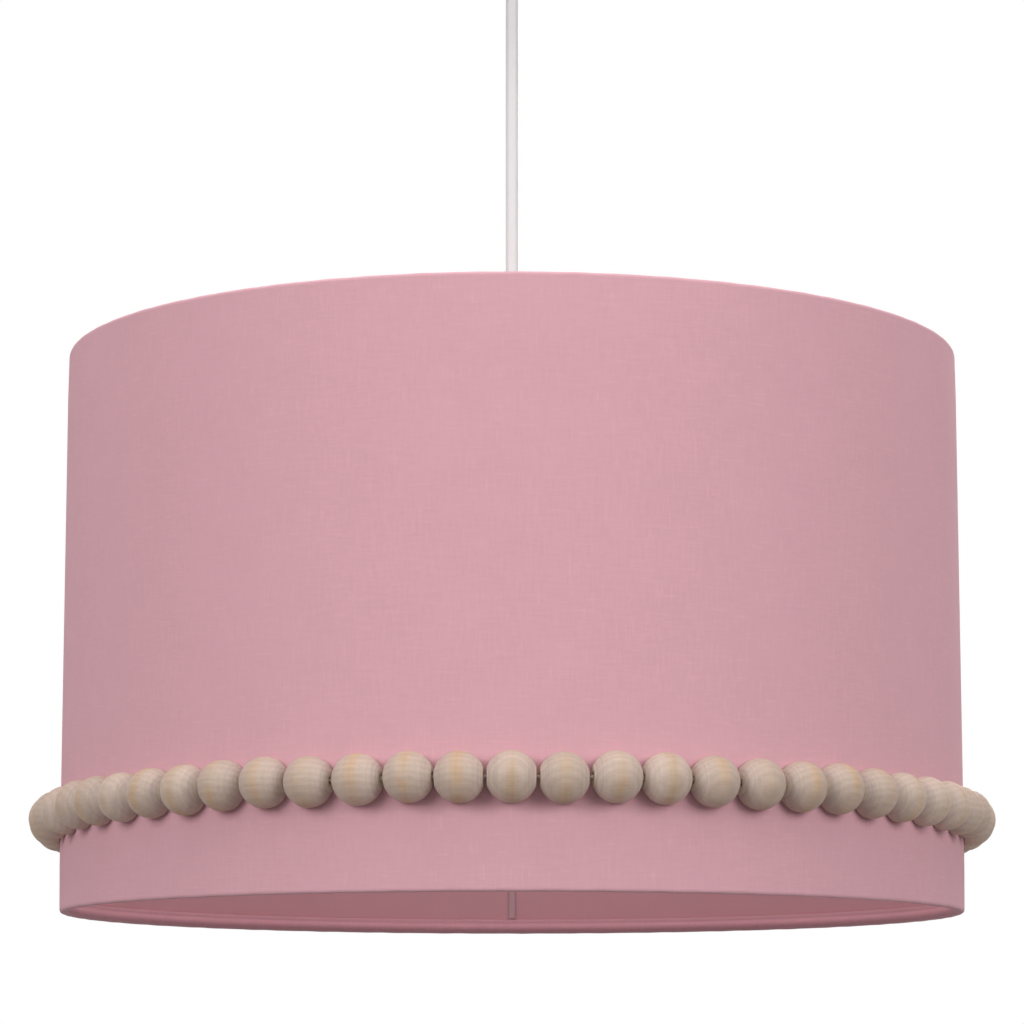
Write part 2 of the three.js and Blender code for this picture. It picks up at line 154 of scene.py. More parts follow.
def seen_ray(tree):
    """1 where the camera looks, straight or by way of metal and glass, and 0 for all other light."""
    path = fed(tree, "ShaderNodeLightPath")
    mirrored = maths("MAXIMUM", path["Is Glossy Ray"], path["Is Transmission Ray"])
    return maths("MAXIMUM", path["Is Camera Ray"], mirrored)


def principled(name, **sockets):
    """A new material with values set on its shader's own sockets: its tree and those sockets."""
    material = bpy.data.materials.new(name)
    material.use_nodes = True
    shader = material.node_tree.nodes["Principled BSDF"].inputs
    for socket, value in sockets.items():
        shader[socket.replace("_", " ")].default_value = value
    return material, material.node_tree, shader


def mesh_from(name, shape, material=None):
    """A mesh from a bmesh, which is freed."""
    mesh = bpy.data.meshes.new(name)
    shape.to_mesh(mesh)
    shape.free()
    if material:
        mesh.materials.append(material)
    return mesh


def middle_level(node):
    """The level of the middle of a CAD node."""
    low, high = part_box(node)
    return (low.z + high.z) / 2


world = bpy.data.worlds.new("studio")
world.use_nodes = True
sky = world.node_tree
sky.nodes.clear()
surround = fed(sky, "ShaderNodeBackground", {"Color": white, "Strength": surround_level})
backdrop = fed(sky, "ShaderNodeBackground", {"Color": white, "Strength": 1})
sky_light = fed(sky, "ShaderNodeMixShader", {0: seen_ray(sky), 1: surround[0], 2: backdrop[0]})
fed(sky, "ShaderNodeOutputWorld", {"Surface": sky_light[0]})
bpy.context.scene.world = world
bpy.context.scene.view_settings.view_transform = "Standard"

lamp_target = Vector((0, 0, middle_level("fabric_cover")))
for lamp_name, (place, watts, across) in lamps.items():
    lamp_data = bpy.data.lights.new(lamp_name, "AREA")
    lamp_data.energy = watts
    lamp_data.size = across
    lamp = added(lamp_name, lamp_data)
    lamp.location = place
    lamp.rotation_euler = (lamp_target - lamp.location).to_track_quat("-Z", "Y").to_euler()
    lamp.visible_camera = False

floor_shape = bmesh.new()
bmesh.ops.create_circle(
    floor_shape, cap_ends=True, segments=floor_sides, radius=floor_radius,
    matrix=Matrix.Translation((0, 0, -room_height)),
)
floor_paint, floor_tree, floor_coat = principled(
    "floor_paint", Roughness=floor_roughness, Emission_Strength=1
)
floor_ray = seen_ray(floor_tree)
blended(floor_ray, floor_bounce, floor_seen).into(floor_coat["Base Color"])
blended(floor_ray, black, floor_glow).into(floor_coat["Emission Color"])
added("floor", mesh_from("floor", floor_shape, floor_paint))

# Pendant cord. A round white two-core cable with a smooth soft plastic sheath. It hangs straight
# between the grip of the ceiling rose and the grip of the lamp holder, pulled taut by the shade.
cord_diameter = 5.7 * MM
cord_tip_steps = 6
cord_tip_width = 0.02
cord_steps = 16
cord_roundness = 10
rub_fineness = 3.1
rub_share = 0.3


def colour_of(screen_colour):
    """A colour for a shader socket, from the 0 to 255 values that it shows on a screen."""
    shares = [value / 255 for value in screen_colour]
    linear = [x / 12.92 if x <= 0.04045 else ((x + 0.055) / 1.055) ** 2.4 for x in shares]
    return (*linear, 1)


def group_of(kind, name, inputs, outputs):
    """A node group whose sockets are named by kind: its tree, what comes in and what goes out."""
    tree = bpy.data.node_groups.new(name, kind)
    for way, sockets in (("INPUT", inputs), ("OUTPUT", outputs)):
        for socket_kind, names in sockets.items():
            for socket_name in names:
                tree.interface.new_socket(socket_name, in_out=way, socket_type="NodeSocket" + socket_kind)
    return tree, outputs_of(tree.nodes.new("NodeGroupInput")), tree.nodes.new("NodeGroupOutput").inputs


def noise(place, scale, detail=2, roughness=0.5):
    """The value of a 3-D noise texture."""
    values = {"Vector": place, "Scale": scale, "Detail": detail, "Roughness": roughness}
    return fed(place.tree, "ShaderNodeTexNoise", values)[0]


def spread(value, low, high, new_low=0.0, new_high=1.0, smooth=False):
    """A value mapped from one range to another and held inside it."""
    kind = "SMOOTHSTEP" if smooth else "LINEAR"
    values = {0: value, 1: low, 2: high, 3: new_low, 4: new_high}
    return fed(value.tree, "ShaderNodeMapRange", values, interpolation_type=kind)[0]


def times(colour, value):
    """A colour made lighter or darker by a value."""
    return fed(colour.tree, "ShaderNodeVectorMath", {0: colour, "Scale": value}, operation="SCALE")[0]


def bumped(height, distance, shader):
    """Joins a height to the shader's normal by a Bump node."""
    bump = fed(height.tree, "ShaderNodeBump", {"Height": height, "Distance": distance, "Strength": 1.0})
    bump[0].into(shader["Normal"])


# Skin of a moulded, painted or plated piece: faint clouds in its tone, patches of finer and rougher
# finish, and a fine grain for its bump.
skin, skin_in, skin_out = group_of(
    "ShaderNodeTree", "skin",
    {"Color": ["Colour"], "Float": ["Clouding", "Cloud Size", "Roughness", "Grain Size"]},
    {"Color": ["Colour"], "Float": ["Roughness", "Height"]},
)
skin_place = fed(skin, "ShaderNodeTexCoord")["Object"]
cloud_scale = maths("DIVIDE", 1.0, skin_in["Cloud Size"])
clouds = noise(skin_place, cloud_scale, detail=3) - 0.5
times(skin_in["Colour"], clouds * skin_in["Clouding"] + 1.0).into(skin_out["Colour"])
rubbed = noise(skin_place, cloud_scale * rub_fineness, detail=4) - 0.5
(skin_in["Roughness"] + rubbed * rub_share).into(skin_out["Roughness"])
noise(skin_place, maths("DIVIDE", 1.0, skin_in["Grain Size"])).into(skin_out["Height"])


def skin_material(name, colour, roughness, cloud, grain, **sockets):
    """A material of the skin group: its cloud's share and mm across, its grain's mm across and deep."""
    material, tree, shader = principled(name, **sockets)
    values = {"Colour": colour_of(colour), "Roughness": roughness, "Grain Size": grain[0] * MM}
    values |= {"Clouding": cloud[0], "Cloud Size": cloud[1] * MM}
    look = fed(tree, "ShaderNodeGroup", values, node_tree=skin)
    look["Colour"].into(shader["Base Color"])
    look["Roughness"].into(shader["Roughness"])
    bumped(look["Height"], grain[1] * MM, shader)
    return material


def quarter_turns(steps):
    """The angles of a quarter turn in even steps."""
    return [math.pi / 2 * step / steps for step in range(steps + 1)]


def piece_of(data, body, slot, *nodes):
    """A piece named as its mesh or curve is, with its body and its CAD nodes, which are hidden. Its slot is
    not used.
    """
    piece = added(data.name, data)
    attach(piece, body)
    if nodes:
        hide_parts(*nodes)
    return piece


white_sheath = skin_material(
    "white_sheath", (225, 226, 226), roughness=0.5, cloud=(0.03, 9), grain=(0.9, 0.02)
)
rose_grip_low, rose_grip_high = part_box("rose_cord_grip")
holder_grip_low, holder_grip_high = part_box("holder_cord_grip")
cord_top = rose_grip_low.z
cord_bottom = holder_grip_high.z
free_length = cord_top - cord_bottom

# The two ends are round, so that the cord turns in the mouths of its grips without opening a gap.
cord_radius = cord_diameter / 2
tip_turns = quarter_turns(cord_tip_steps)[:-1]
cord_tip = [(cord_radius * math.cos(turn), max(math.sin(turn), cord_tip_width)) for turn in tip_turns]
cord_route = [(cord_top + rise, width) for rise, width in cord_tip]
cord_route += [(cord_top - free_length * step / cord_steps, 1) for step in range(cord_steps + 1)]
cord_route += [(cord_bottom - rise, width) for rise, width in reversed(cord_tip)]
cord_curve = bpy.data.curves.new("white_cord", "CURVE")
cord_curve.dimensions = "3D"
cord_curve.bevel_depth = cord_radius
cord_curve.bevel_resolution = cord_roundness
cord_curve.use_fill_caps = True
cord_line = cord_curve.splines.new("POLY")
cord_line.points.add(len(cord_route) - 1)
for point, (level, width) in zip(cord_line.points, cord_route):
    point.co = (0, 0, level, 1)
    point.radius = width
cord_curve.materials.append(white_sheath)
white_cord = piece_of(cord_curve, "cord", "white_flex", "pendant_cord")

# Ceiling bracket. A strip of bright zinc-plated steel, punched with a slot for each ceiling screw and
# bent down at both ends into the ears that the rose's cover is screwed to.
bracket_low, bracket_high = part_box("ceiling_bracket")
strip_thickness = 2 * MM
strip_corner = 3 * MM
strip_corner_steps = 6
strip_easing = 0.25 * MM
strip_sharpness = 50
bend_radius = 1.2 * MM
bend_cuts = 6
slot_length = 14 * MM
slot_width = 5 * MM
slot_end_steps = 10
slot_offset = 26 * MM
ear_hole_radius = 2.3 * MM
ear_hole_sides = 20
fixing_drop = 13 * MM

zinc_plate = skin_material(
    "zinc_plate", (188, 191, 194), roughness=0.36, cloud=(0.22, 6), grain=(0.5, 0.01), Metallic=1.0
)


def smoothed(mesh, sharp_above):
    """The mesh, smooth but for edges sharper than an angle in degrees."""
    mesh.shade_smooth()
    mesh.set_sharp_from_angle(angle=math.radians(sharp_above))
    return mesh


def mesh_of(name, shape, material, sharp_above=35, ease=0.0):
    """A smooth mesh from a bmesh, with its faces turned outwards and its sharper edges eased."""
    bmesh.ops.recalc_face_normals(shape, faces=shape.faces)
    if ease:
        limit = math.radians(sharp_above)
        edges = [edge for edge in shape.edges if edge.is_manifold and edge.calc_face_angle() > limit]
        bmesh.ops.bevel(
            shape, geom=edges, offset=ease, segments=2, profile=0.5, affect="EDGES", clamp_overlap=True
        )
    return smoothed(mesh_from(name, shape, material), sharp_above)


def circle_points(radius, sides, centre=(0, 0), start=0.0, turn=FULL_TURN):
    """Points round a circle, or along an arc of it when the turn is less than a full one."""
    last = sides if turn == FULL_TURN else sides - 1
    angles = [start + turn * i / last for i in range(sides)]
    return [(centre[0] + radius * math.cos(a), centre[1] + radius * math.sin(a)) for a in angles]


def plate_of(outline, holes, thickness):
    """A flat plate with holes, from outlines in X and Y, between Z 0 and its thickness below."""
    shape = bmesh.new()
    edges = []
    for loop in [outline, *holes]:
        corners = [shape.verts.new((x, y, 0)) for x, y in loop]
        edges += [shape.edges.new(pair) for pair in zip(corners, corners[1:] + corners[:1])]
    bmesh.ops.triangle_fill(shape, use_beauty=True, use_dissolve=False, edges=edges)
    walls = bmesh.ops.extrude_face_region(shape, geom=list(shape.faces))
    lower = [item for item in walls["geom"] if isinstance(item, bmesh.types.BMVert)]
    bmesh.ops.translate(shape, vec=(0, 0, -thickness), verts=lower)
    return shape


# The strip is punched flat, then each end is carried round its bend.
bend_outer = bend_radius + strip_thickness
bend_start = bracket_high.x - bend_outer
bend_length = bend_outer * math.pi / 2
flat_end = bend_start + bend_length + bracket_high.z - bracket_low.z - bend_outer
hole_place = bend_start + bend_length + fixing_drop - bend_outer
strip_outline = []
for number, (side_x, side_y) in enumerate([(1, 1), (-1, 1), (-1, -1), (1, -1)]):
    centre = (side_x * (flat_end - strip_corner), side_y * (bracket_high.y - strip_corner))
    start = number * math.pi / 2
    strip_outline += circle_points(strip_corner, strip_corner_steps, centre, start, math.pi / 2)
strip_holes = []
for side in (-1, 1):
    slot_outline = []
    for end in (1, -1):
        centre = (side * slot_offset + end * (slot_length - slot_width) / 2, 0)
        slot_outline += circle_points(slot_width / 2, slot_end_steps, centre, -end * math.pi / 2, math.pi)
    ear_hole = circle_points(ear_hole_radius, ear_hole_sides, (side * hole_place, 0))
    strip_holes += [slot_outline, ear_hole]
strip = plate_of(strip_outline, strip_holes, strip_thickness)
for side in (-1, 1):
    for step in range(bend_cuts + 1):
        cut = (side * (bend_start + bend_length * step / bend_cuts), 0, 0)
        everything = [*strip.verts, *strip.edges, *strip.faces]
        bmesh.ops.bisect_plane(strip, geom=everything, plane_co=cut, plane_no=(1, 0, 0))
for corner in strip.verts:
    along = abs(corner.co.x) - bend_start
    if along > 0:
        side = math.copysign(1, corner.co.x)
        turn = min(along, bend_length) / bend_outer
        reach = bend_outer + corner.co.z
        corner.co.x = side * (bend_start + reach * math.sin(turn))
        corner.co.z = -bend_outer + reach * math.cos(turn) - max(along - bend_length, 0)
strap_mesh = mesh_of("ceiling_strap", strip, zinc_plate, strip_sharpness, strip_easing)
piece_of(strap_mesh, "rose", "zinc_steel", "ceiling_bracket")

# Terminal block. A white moulded block screwed under the strap, with three wire wells in its front and
# three in its back.
block_low, block_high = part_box("terminal_block")
block_easing = 0.7 * MM
well_radius = 2.1 * MM
well_depth = 5 * MM
well_pitch = 10 * MM
well_level = middle_level("terminal_block")
well_sides = 24
screw_well_radius = 2 * MM
screw_well_depth = 2.2 * MM
screw_well_inset = 4.1 * MM

white_moulding = skin_material(
    "white_moulding", (238, 238, 236), roughness=0.32, cloud=(0.02, 9), grain=(0.5, 0.005)
)


def box_of(low, high):
    """A plain box between two corners, to cut with or to ease."""
    shape = bmesh.new()
    middle = (Vector(low) + Vector(high)) / 2
    size = Vector(high) - Vector(low)
    bmesh.ops.create_cube(shape, size=1, matrix=Matrix.Translation(middle) @ Matrix.Diagonal((*size, 1)))
    return shape


def rod_of(radius, start, end):
    """A plain round rod between two points, to cut with."""
    shape = bmesh.new()
    middle = (Vector(start) + Vector(end)) / 2
    reach = Vector(end) - Vector(start)
    bmesh.ops.create_cone(
        shape, cap_ends=True, segments=well_sides, radius1=radius, radius2=radius, depth=reach.length,
        matrix=Matrix.Translation(middle) @ reach.to_track_quat("Z", "Y").to_matrix().to_4x4(),
    )
    return shape


def settled(holder, name):
    """The plain mesh that an object's modifiers make. The object and its own mesh are removed."""
    graph = bpy.context.evaluated_depsgraph_get()
    ready = holder.evaluated_get(graph)
    mesh = bpy.data.meshes.new_from_object(ready, preserve_all_data_layers=True, depsgraph=graph)
    start = holder.data
    bpy.data.objects.remove(holder)
    bpy.data.meshes.remove(start)
    mesh.name = name
    return mesh


def carved(mesh, tools, sharp_above=35):
    """A mesh with each of the tool shapes cut out of it."""
    body = added("being_carved", mesh)
    cutters = []
    for shape in tools:
        bmesh.ops.recalc_face_normals(shape, faces=shape.faces)
        cutters.append(added("cutter", mesh_from("cutter", shape)))
        cut = body.modifiers.new("cut", "BOOLEAN")
        cut.operation = "DIFFERENCE"
        cut.solver = "EXACT"
        cut.object = cutters[-1]
    result = settled(body, mesh.name)
    for cutter in cutters:
        bpy.data.objects.remove(cutter)
    return smoothed(result, sharp_above)


block_wells = []
for column in (-1, 0, 1):
    for side in (-1, 1):
        x = column * well_pitch
        mouth = (x, side * (block_high.y + MM), well_level)
        well_floor = (x, side * (block_high.y - well_depth), well_level)
        screw_mouth = (x, side * screw_well_inset, block_low.z - MM)
        screw_floor = (x, side * screw_well_inset, block_low.z + screw_well_depth)
        block_wells.append(rod_of(well_radius, mouth, well_floor))
        block_wells.append(rod_of(screw_well_radius, screw_mouth, screw_floor))
block_mesh = mesh_of("wire_block", box_of(block_low, block_high), white_moulding, ease=block_easing)
piece_of(carved(block_mesh, block_wells), "rose", "white_plastic", "terminal_block")

# Clamping screws of the terminal block. Six small brass cheese-headed screws, one sunk over each well,
# each stopped at its own turn.
clamp_head_radius = 1.75 * MM
clamp_head_height = 1.2 * MM
clamp_slot_width = 0.7 * MM
clamp_slot_depth = 0.6 * MM
clamp_seed = 3
screw_sides = 28
head_easing = 0.25 * MM
head_foot_easing = 0.1 * MM

screw_brass = skin_material(
    "screw_brass", (212, 180, 108), roughness=0.3, cloud=(0.3, 2), grain=(0.2, 0.01), Metallic=1.0
)


def turned(outline, sides):
    """A bmesh turned round Z from (radius, height) points. It is a ring if it starts off the axis."""
    shape = bmesh.new()
    rings = []
    for radius, level in outline:
        spots = circle_points(radius, sides) if radius else [(0, 0)]
        rings.append([shape.verts.new((x, y, level)) for x, y in spots])
    for first, second in zip(rings, rings[1:] + rings[:1] if outline[0][0] else rings[1:]):
        for i in range(sides):
            corners = [first[(i - 1) % len(first)], first[i % len(first)]]
            corners += [second[i % len(second)], second[(i - 1) % len(second)]]
            corners = list(dict.fromkeys(corners))
            if len(corners) > 2:
                shape.faces.new(corners)
    return shape


def eased(corners, steps=4):
    """Outline points from (radius, height, easing) corners, rounded off or, in one step, bevelled."""
    points = []
    for i, (radius, level, easing) in enumerate(corners):
        here = Vector((radius, level))
        if not easing:
            points.append(tuple(here))
            continue
        back = (Vector(corners[i - 1][:2]) - here).normalized() * easing
        ahead = (Vector(corners[(i + 1) % len(corners)][:2]) - here).normalized() * easing
        for share in [step / steps for step in range(steps + 1)]:
            points.append(tuple(here + back * (1 - share) ** 2 + ahead * share**2))
    return points


def head_outline(radius, height):
    """The outline of a cheese head, from the middle of its slotted face at 0."""
    return eased([(0, 0, 0), (radius, 0, head_easing), (radius, height, head_foot_easing), (0, height, 0)])


def slotted_screw(name, outline, slot_width, slot_depth, material):
    """A screw whose slotted head ends at the lowest point of its outline."""
    low = min(level for radius, level in outline)
    wide = max(radius for radius, level in outline) + MM
    slot = box_of((-wide, -slot_width / 2, low - MM), (wide, slot_width / 2, low + slot_depth))
    return carved(mesh_of(name, turned(outline, screw_sides), material), [slot])


def vector(*parts):
    """A vector of three values."""
    return fed(tree_among(parts), "ShaderNodeCombineXYZ", dict(enumerate(parts)))[0]


def geometry_tree(name, **inputs):
    """A geometry tree with named inputs for its sizes."""
    ends = {"Geometry": ["Geometry"]}
    return group_of("GeometryNodeTree", name, {**ends, "Material": ["Material"], **inputs}, ends)


def finished(geometry, inputs, outputs):
    """Ends a geometry tree: its instances made real, with the material put on."""
    real = fed(geometry.tree, "GeometryNodeRealizeInstances", {0: geometry})
    coat = {0: real[0], "Material": inputs["Material"]}
    fed(geometry.tree, "GeometryNodeSetMaterial", coat)[0].into(outputs[0])


def chance(seed, offset, low, high):
    """A random value for each copy, between two values or flows."""
    values = {"Seed": seed + offset, 2: low, 3: high}
    return fed(seed.tree, "FunctionNodeRandomValue", values, data_type="FLOAT")[1]


def grown(name, tree, start, **values):
    """A plain mesh grown from a start mesh by a geometry tree with the values given."""
    holder = added(name, start)
    modifier = holder.modifiers.new("grow", "NODES")
    modifier.node_group = tree
    inputs = [item for item in tree.interface.items_tree if item.in_out == "INPUT"]
    identifiers = {item.name.replace(" ", "_"): item.identifier for item in inputs}
    for input_name, value in values.items():
        modifier[identifiers[input_name]] = value
    return settled(holder, name)


rows, rows_in, rows_out = geometry_tree(
    "copies_in_rows", Int=["Columns", "Rows", "Seed"], Float=["Column Pitch", "Row Pitch"]
)
row_width = (rows_in["Columns"] - 1.0) * rows_in["Column Pitch"]
row_depth = (rows_in["Rows"] - 1.0) * rows_in["Row Pitch"]
grid_values = {0: row_width, 1: row_depth, 2: rows_in["Columns"], 3: rows_in["Rows"]}
grid_turn = vector(0.0, 0.0, chance(rows_in["Seed"], 0.0, 0.0, math.pi))
stood_values = {"Instance": rows_in["Geometry"], "Rotation": grid_turn}
stood_values["Points"] = fed(rows, "GeometryNodeMeshGrid", grid_values)[0]
finished(fed(rows, "GeometryNodeInstanceOnPoints", stood_values)[0], rows_in, rows_out)

clamp_outline = head_outline(clamp_head_radius, clamp_head_height)
clamp_screw = slotted_screw("clamp_screw", clamp_outline, clamp_slot_width, clamp_slot_depth, screw_brass)
clamp_screws = grown(
    "clamp_screws", rows, clamp_screw, Columns=3, Rows=2, Column_Pitch=well_pitch,
    Row_Pitch=2 * screw_well_inset, Seed=clamp_seed, Material=screw_brass,
)
clamp_level = block_low.z + screw_well_depth - clamp_head_height
clamp_screws.transform(Matrix.Translation((0, 0, clamp_level)))
piece_of(clamp_screws, "rose", "brass")

# Cover of the ceiling rose. A cup drawn from thin steel and powder coated white, with a straight band
# at its rim, a rounded lower corner and a hole in the middle for the cord grip.
rose_radius = 48 * MM
rose_wall = 2 * MM
rose_depth = 52 * MM
rose_band = 6 * MM
rose_draft = 2 * MM
rose_corner = 10 * MM
rose_corner_steps = 10
rose_sides = 128
rose_hole = 5.25 * MM
rose_hole_easing = 0.5 * MM
rose_rim_easing = 0.3 * MM
rose_sharpness = 40

white_coat = skin_material(
    "white_coat", (236, 236, 234), roughness=0.42, cloud=(0.03, 12), grain=(0.5, 0.03)
)


def rose_line(inset):
    """The cup's corners, drawn in from its outside, from its band to its flat bottom."""
    reach = rose_radius - rose_draft - rose_corner
    corner = rose_corner - inset
    line = [(rose_radius - inset, -rose_band, 0)]
    for turn in quarter_turns(rose_corner_steps):
        level = rose_corner - rose_depth - corner * math.sin(turn)
        line.append((reach + corner * math.cos(turn), level, 0))
    return line


rose_outline = eased([
    (rose_radius, 0, rose_rim_easing), *rose_line(0), (rose_hole, -rose_depth, rose_hole_easing),
    (rose_hole, -rose_depth + rose_wall, 0), *reversed(rose_line(rose_wall)),
    (rose_radius - rose_wall, 0, 0),
], steps=1)
rose_cup = mesh_of("rose_cup", turned(rose_outline, rose_sides), white_coat, rose_sharpness)
tunnel_end = rose_radius + MM
fixing_tunnel = rod_of(ear_hole_radius, (-tunnel_end, 0, -fixing_drop), (tunnel_end, 0, -fixing_drop))
piece_of(carved(rose_cup, [fixing_tunnel], rose_sharpness), "rose", "white_metal", "rose_cover")

# Cover fixings. Two pan-headed machine screws of zinc-plated steel, one driven through each side of
# the cover into the strap's ear, each stopped at its own turn.
fixing_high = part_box("rose_fixing_right")[1]
fixing_radius = 2 * MM
fixing_head_radius = 3.8 * MM
fixing_length = 9 * MM
fixing_head_height = 2.6 * MM
fixing_head_easing = 0.2 * MM
fixing_pan = ((0, 0), (0.55, 0.12 * MM), (0.85, 0.7 * MM), (1, 1.5 * MM))
fixing_tip = 0.5 * MM
fixing_slot_width = 1.1 * MM
fixing_slot_depth = 1.2 * MM
fixing_thread_depth = 0.3 * MM
fixing_thread_pitch = 0.7 * MM
fixing_seed = 11

# Copies round the axis. Each may lean, slip, grow and roll by chance, and keeps three chances of its
# own for its material.
copies, ring, copies_out = geometry_tree(
    "copies_round_axis", Int=["Count", "Seed"],
    Float=["Radius", "Start Turn", "Lean", "Slip", "Growth", "Roll"],
)
copy_seed = ring["Seed"]
copy_number = fed(copies, "GeometryNodeInputIndex")[0]
even_turn = copy_number * maths("DIVIDE", FULL_TURN, ring["Count"]) + ring["Start Turn"]
slip_round = chance(copy_seed, 1.0, ring["Slip"] * -1.0, ring["Slip"])
slip_up = chance(copy_seed, 2.0, ring["Slip"] * -1.0, ring["Slip"])
copy_lean = chance(copy_seed, 3.0, ring["Lean"] * -1.0, ring["Lean"])
copy_roll = chance(copy_seed, 4.0, 0.0, ring["Roll"])
copy_size = chance(copy_seed, 5.0, maths("SUBTRACT", 1.0, ring["Growth"]), ring["Growth"] + 1.0)
copy_chances = vector(*[chance(copy_seed, offset, 0.0, 1.0) for offset in (6.0, 7.0, 8.0)])
copy_turn = even_turn + slip_round / maths("MAXIMUM", ring["Radius"], MM)
copy_x = maths("SINE", copy_turn) * ring["Radius"]
copy_y = maths("COSINE", copy_turn) * ring["Radius"] * -1.0
spot_values = {"Count": ring["Count"], "Position": vector(copy_x, copy_y, slip_up)}
turns = (vector(0.0, 0.0, copy_turn), vector(0.0, copy_lean + copy_roll, 0.0))
rotations = [fed(copies, "FunctionNodeEulerToRotation", {0: turn})[0] for turn in turns]
both = fed(copies, "FunctionNodeRotateRotation", dict(enumerate(rotations)), rotation_space="LOCAL")
placed_values = {"Instance": ring["Geometry"], "Rotation": both[0], "Scale": copy_size}
placed_values["Points"] = fed(copies, "GeometryNodePoints", spot_values)[0]
marked_values = {"Name": "copy_chance", "Value": copy_chances}
marked_values["Geometry"] = fed(copies, "GeometryNodeInstanceOnPoints", placed_values)[0]
marked = fed(
    copies, "GeometryNodeStoreNamedAttribute", marked_values, data_type="FLOAT_VECTOR", domain="INSTANCE"
)
finished(marked[0], ring, copies_out)


def thread_line(radius, depth, pitch, start, end):
    """The zigzag outline of a screw thread between two levels."""
    way = math.copysign(1, end - start)
    points = []
    level = start
    while (end - level) * way > 0:
        points += [(radius, level), (radius - depth, level + way * pitch / 2)]
        level += way * pitch
    return points


# The screw is turned head down, then laid along Y with its head to the front, for the tree to place.
fixing_end = fixing_head_height + fixing_length
fixing_corners = [(fixing_head_radius * share, level, 0) for share, level in fixing_pan]
fixing_corners.append((fixing_head_radius, fixing_head_height, fixing_head_easing))
fixing_corners.append((fixing_radius, fixing_head_height, 0))
fixing_outline = eased(fixing_corners, steps=1)
fixing_outline += thread_line(
    fixing_radius, fixing_thread_depth, fixing_thread_pitch, fixing_head_height + MM, fixing_end - MM
)
fixing_outline += [(fixing_radius - fixing_tip, fixing_end), (0, fixing_end)]
fixing_screw = slotted_screw(
    "fixing_screw", fixing_outline, fixing_slot_width, fixing_slot_depth, zinc_plate
)
fixing_screw.transform(Matrix.Rotation(-math.pi / 2, 4, "X"))
fixing_screw.transform(Matrix.Translation((0, -fixing_head_height, 0)))
cover_screws = grown(
    "cover_screws", copies, fixing_screw, Count=2, Radius=fixing_high.x - fixing_head_height,
    Start_Turn=math.pi / 2, Roll=math.pi, Seed=fixing_seed, Material=zinc_plate,
)
cover_screws.transform(Matrix.Translation((0, 0, -fixing_drop)))
piece_of(cover_screws, "rose", "zinc_steel", "rose_fixing_right", "rose_fixing_left")

# Cord grip of the rose. A white moulded bush that stands under the cover's hole, with a threaded neck
# up through it. A nylon screw in its side presses on the cord.
grip_radius = 6.55 * MM
grip_bore = 3.15 * MM
grip_chamfer = 1.5 * MM
grip_easing = 0.3 * MM
grip_sides = 64
grip_seat_gap = 0.3 * MM
neck_radius = 4.95 * MM
neck_thread_depth = 0.35 * MM
neck_thread_pitch = 1 * MM
side_screw_drop = 7.5 * MM
side_screw_radius = 1.9 * MM
side_screw_height = 1.6 * MM
side_screw_gap = 0.2 * MM
side_screw_reach = 0.25 * MM
side_slot_width = 0.6 * MM
side_slot_depth = 0.7 * MM
side_screw_turn = math.radians(25)


def grip_mesh(name, seat, end, neck_end):
    """A cord grip from its seat on the plate to its mouth, with its threaded neck the other way."""
    out = math.copysign(1, end - seat)
    root = neck_radius - neck_thread_depth
    neck = eased([
        (grip_bore, seat, 0), (grip_bore, neck_end, grip_easing), (root, neck_end, grip_easing),
        (neck_radius, seat, 0),
    ])[1:-1]
    step = out * neck_thread_pitch
    neck += thread_line(neck_radius, neck_thread_depth, neck_thread_pitch, neck_end + step, seat - step)
    body = eased([
        (neck_radius, seat, 0), (grip_radius, seat, grip_easing),
        (grip_radius, end - out * grip_chamfer, grip_easing), (grip_radius - grip_chamfer, end, grip_easing),
        (grip_bore, end, grip_easing), (grip_bore, seat, 0),
    ])[:-1]
    return mesh_of(name, turned(neck + body, grip_sides), white_moulding)


def side_screw(name, level, body):
    """The slotted screw in the front of a grip."""
    outline = head_outline(side_screw_radius, side_screw_height)
    screw = slotted_screw(name, outline, side_slot_width, side_slot_depth, white_moulding)
    screw.transform(Matrix.Rotation(side_screw_turn, 4, "Z"))
    screw.transform(Matrix.Rotation(-math.pi / 2, 4, "X"))
    screw.transform(Matrix.Translation((0, -grip_radius - side_screw_reach, level)))
    piece_of(screw, body, "white_plastic")


def screw_seat(level):
    """The hole in the front of a grip that its screw stands in."""
    floor_y = side_screw_height - grip_radius
    return rod_of(side_screw_radius + side_screw_gap, (0, -grip_radius - MM, level), (0, floor_y, level))


rose_grip_seat = -rose_depth - grip_seat_gap
rose_screw_level = rose_grip_seat - side_screw_drop
rose_bush = grip_mesh("rose_bush", rose_grip_seat, rose_grip_low.z, rose_grip_high.z)
piece_of(carved(rose_bush, [screw_seat(rose_screw_level)]), "rose", "white_plastic", "rose_cord_grip")
side_screw("rose_bush_screw", rose_screw_level, "rose")

# Locknut. A thin hexagon nut of zinc-plated steel, screwed down the grip's neck inside the rose, so
# that the floor of the cover is held between it and the grip.
locknut_low, locknut_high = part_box("rose_locknut")
locknut_sides = 6
locknut_bore = 5.25 * MM
locknut_bore_sides = 36
locknut_easing = 0.35 * MM
locknut_sharpness = 40

locknut_hole = circle_points(locknut_bore, locknut_bore_sides)
locknut_outline = circle_points(locknut_high.x, locknut_sides)
locknut_plate = plate_of(locknut_outline, [locknut_hole], locknut_high.z - locknut_low.z)
locknut_mesh = mesh_of("hexagon_nut", locknut_plate, zinc_plate, locknut_sharpness, locknut_easing)
locknut_mesh.transform(Matrix.Translation((0, 0, locknut_high.z)))
piece_of(locknut_mesh, "rose", "zinc_steel", "rose_locknut")

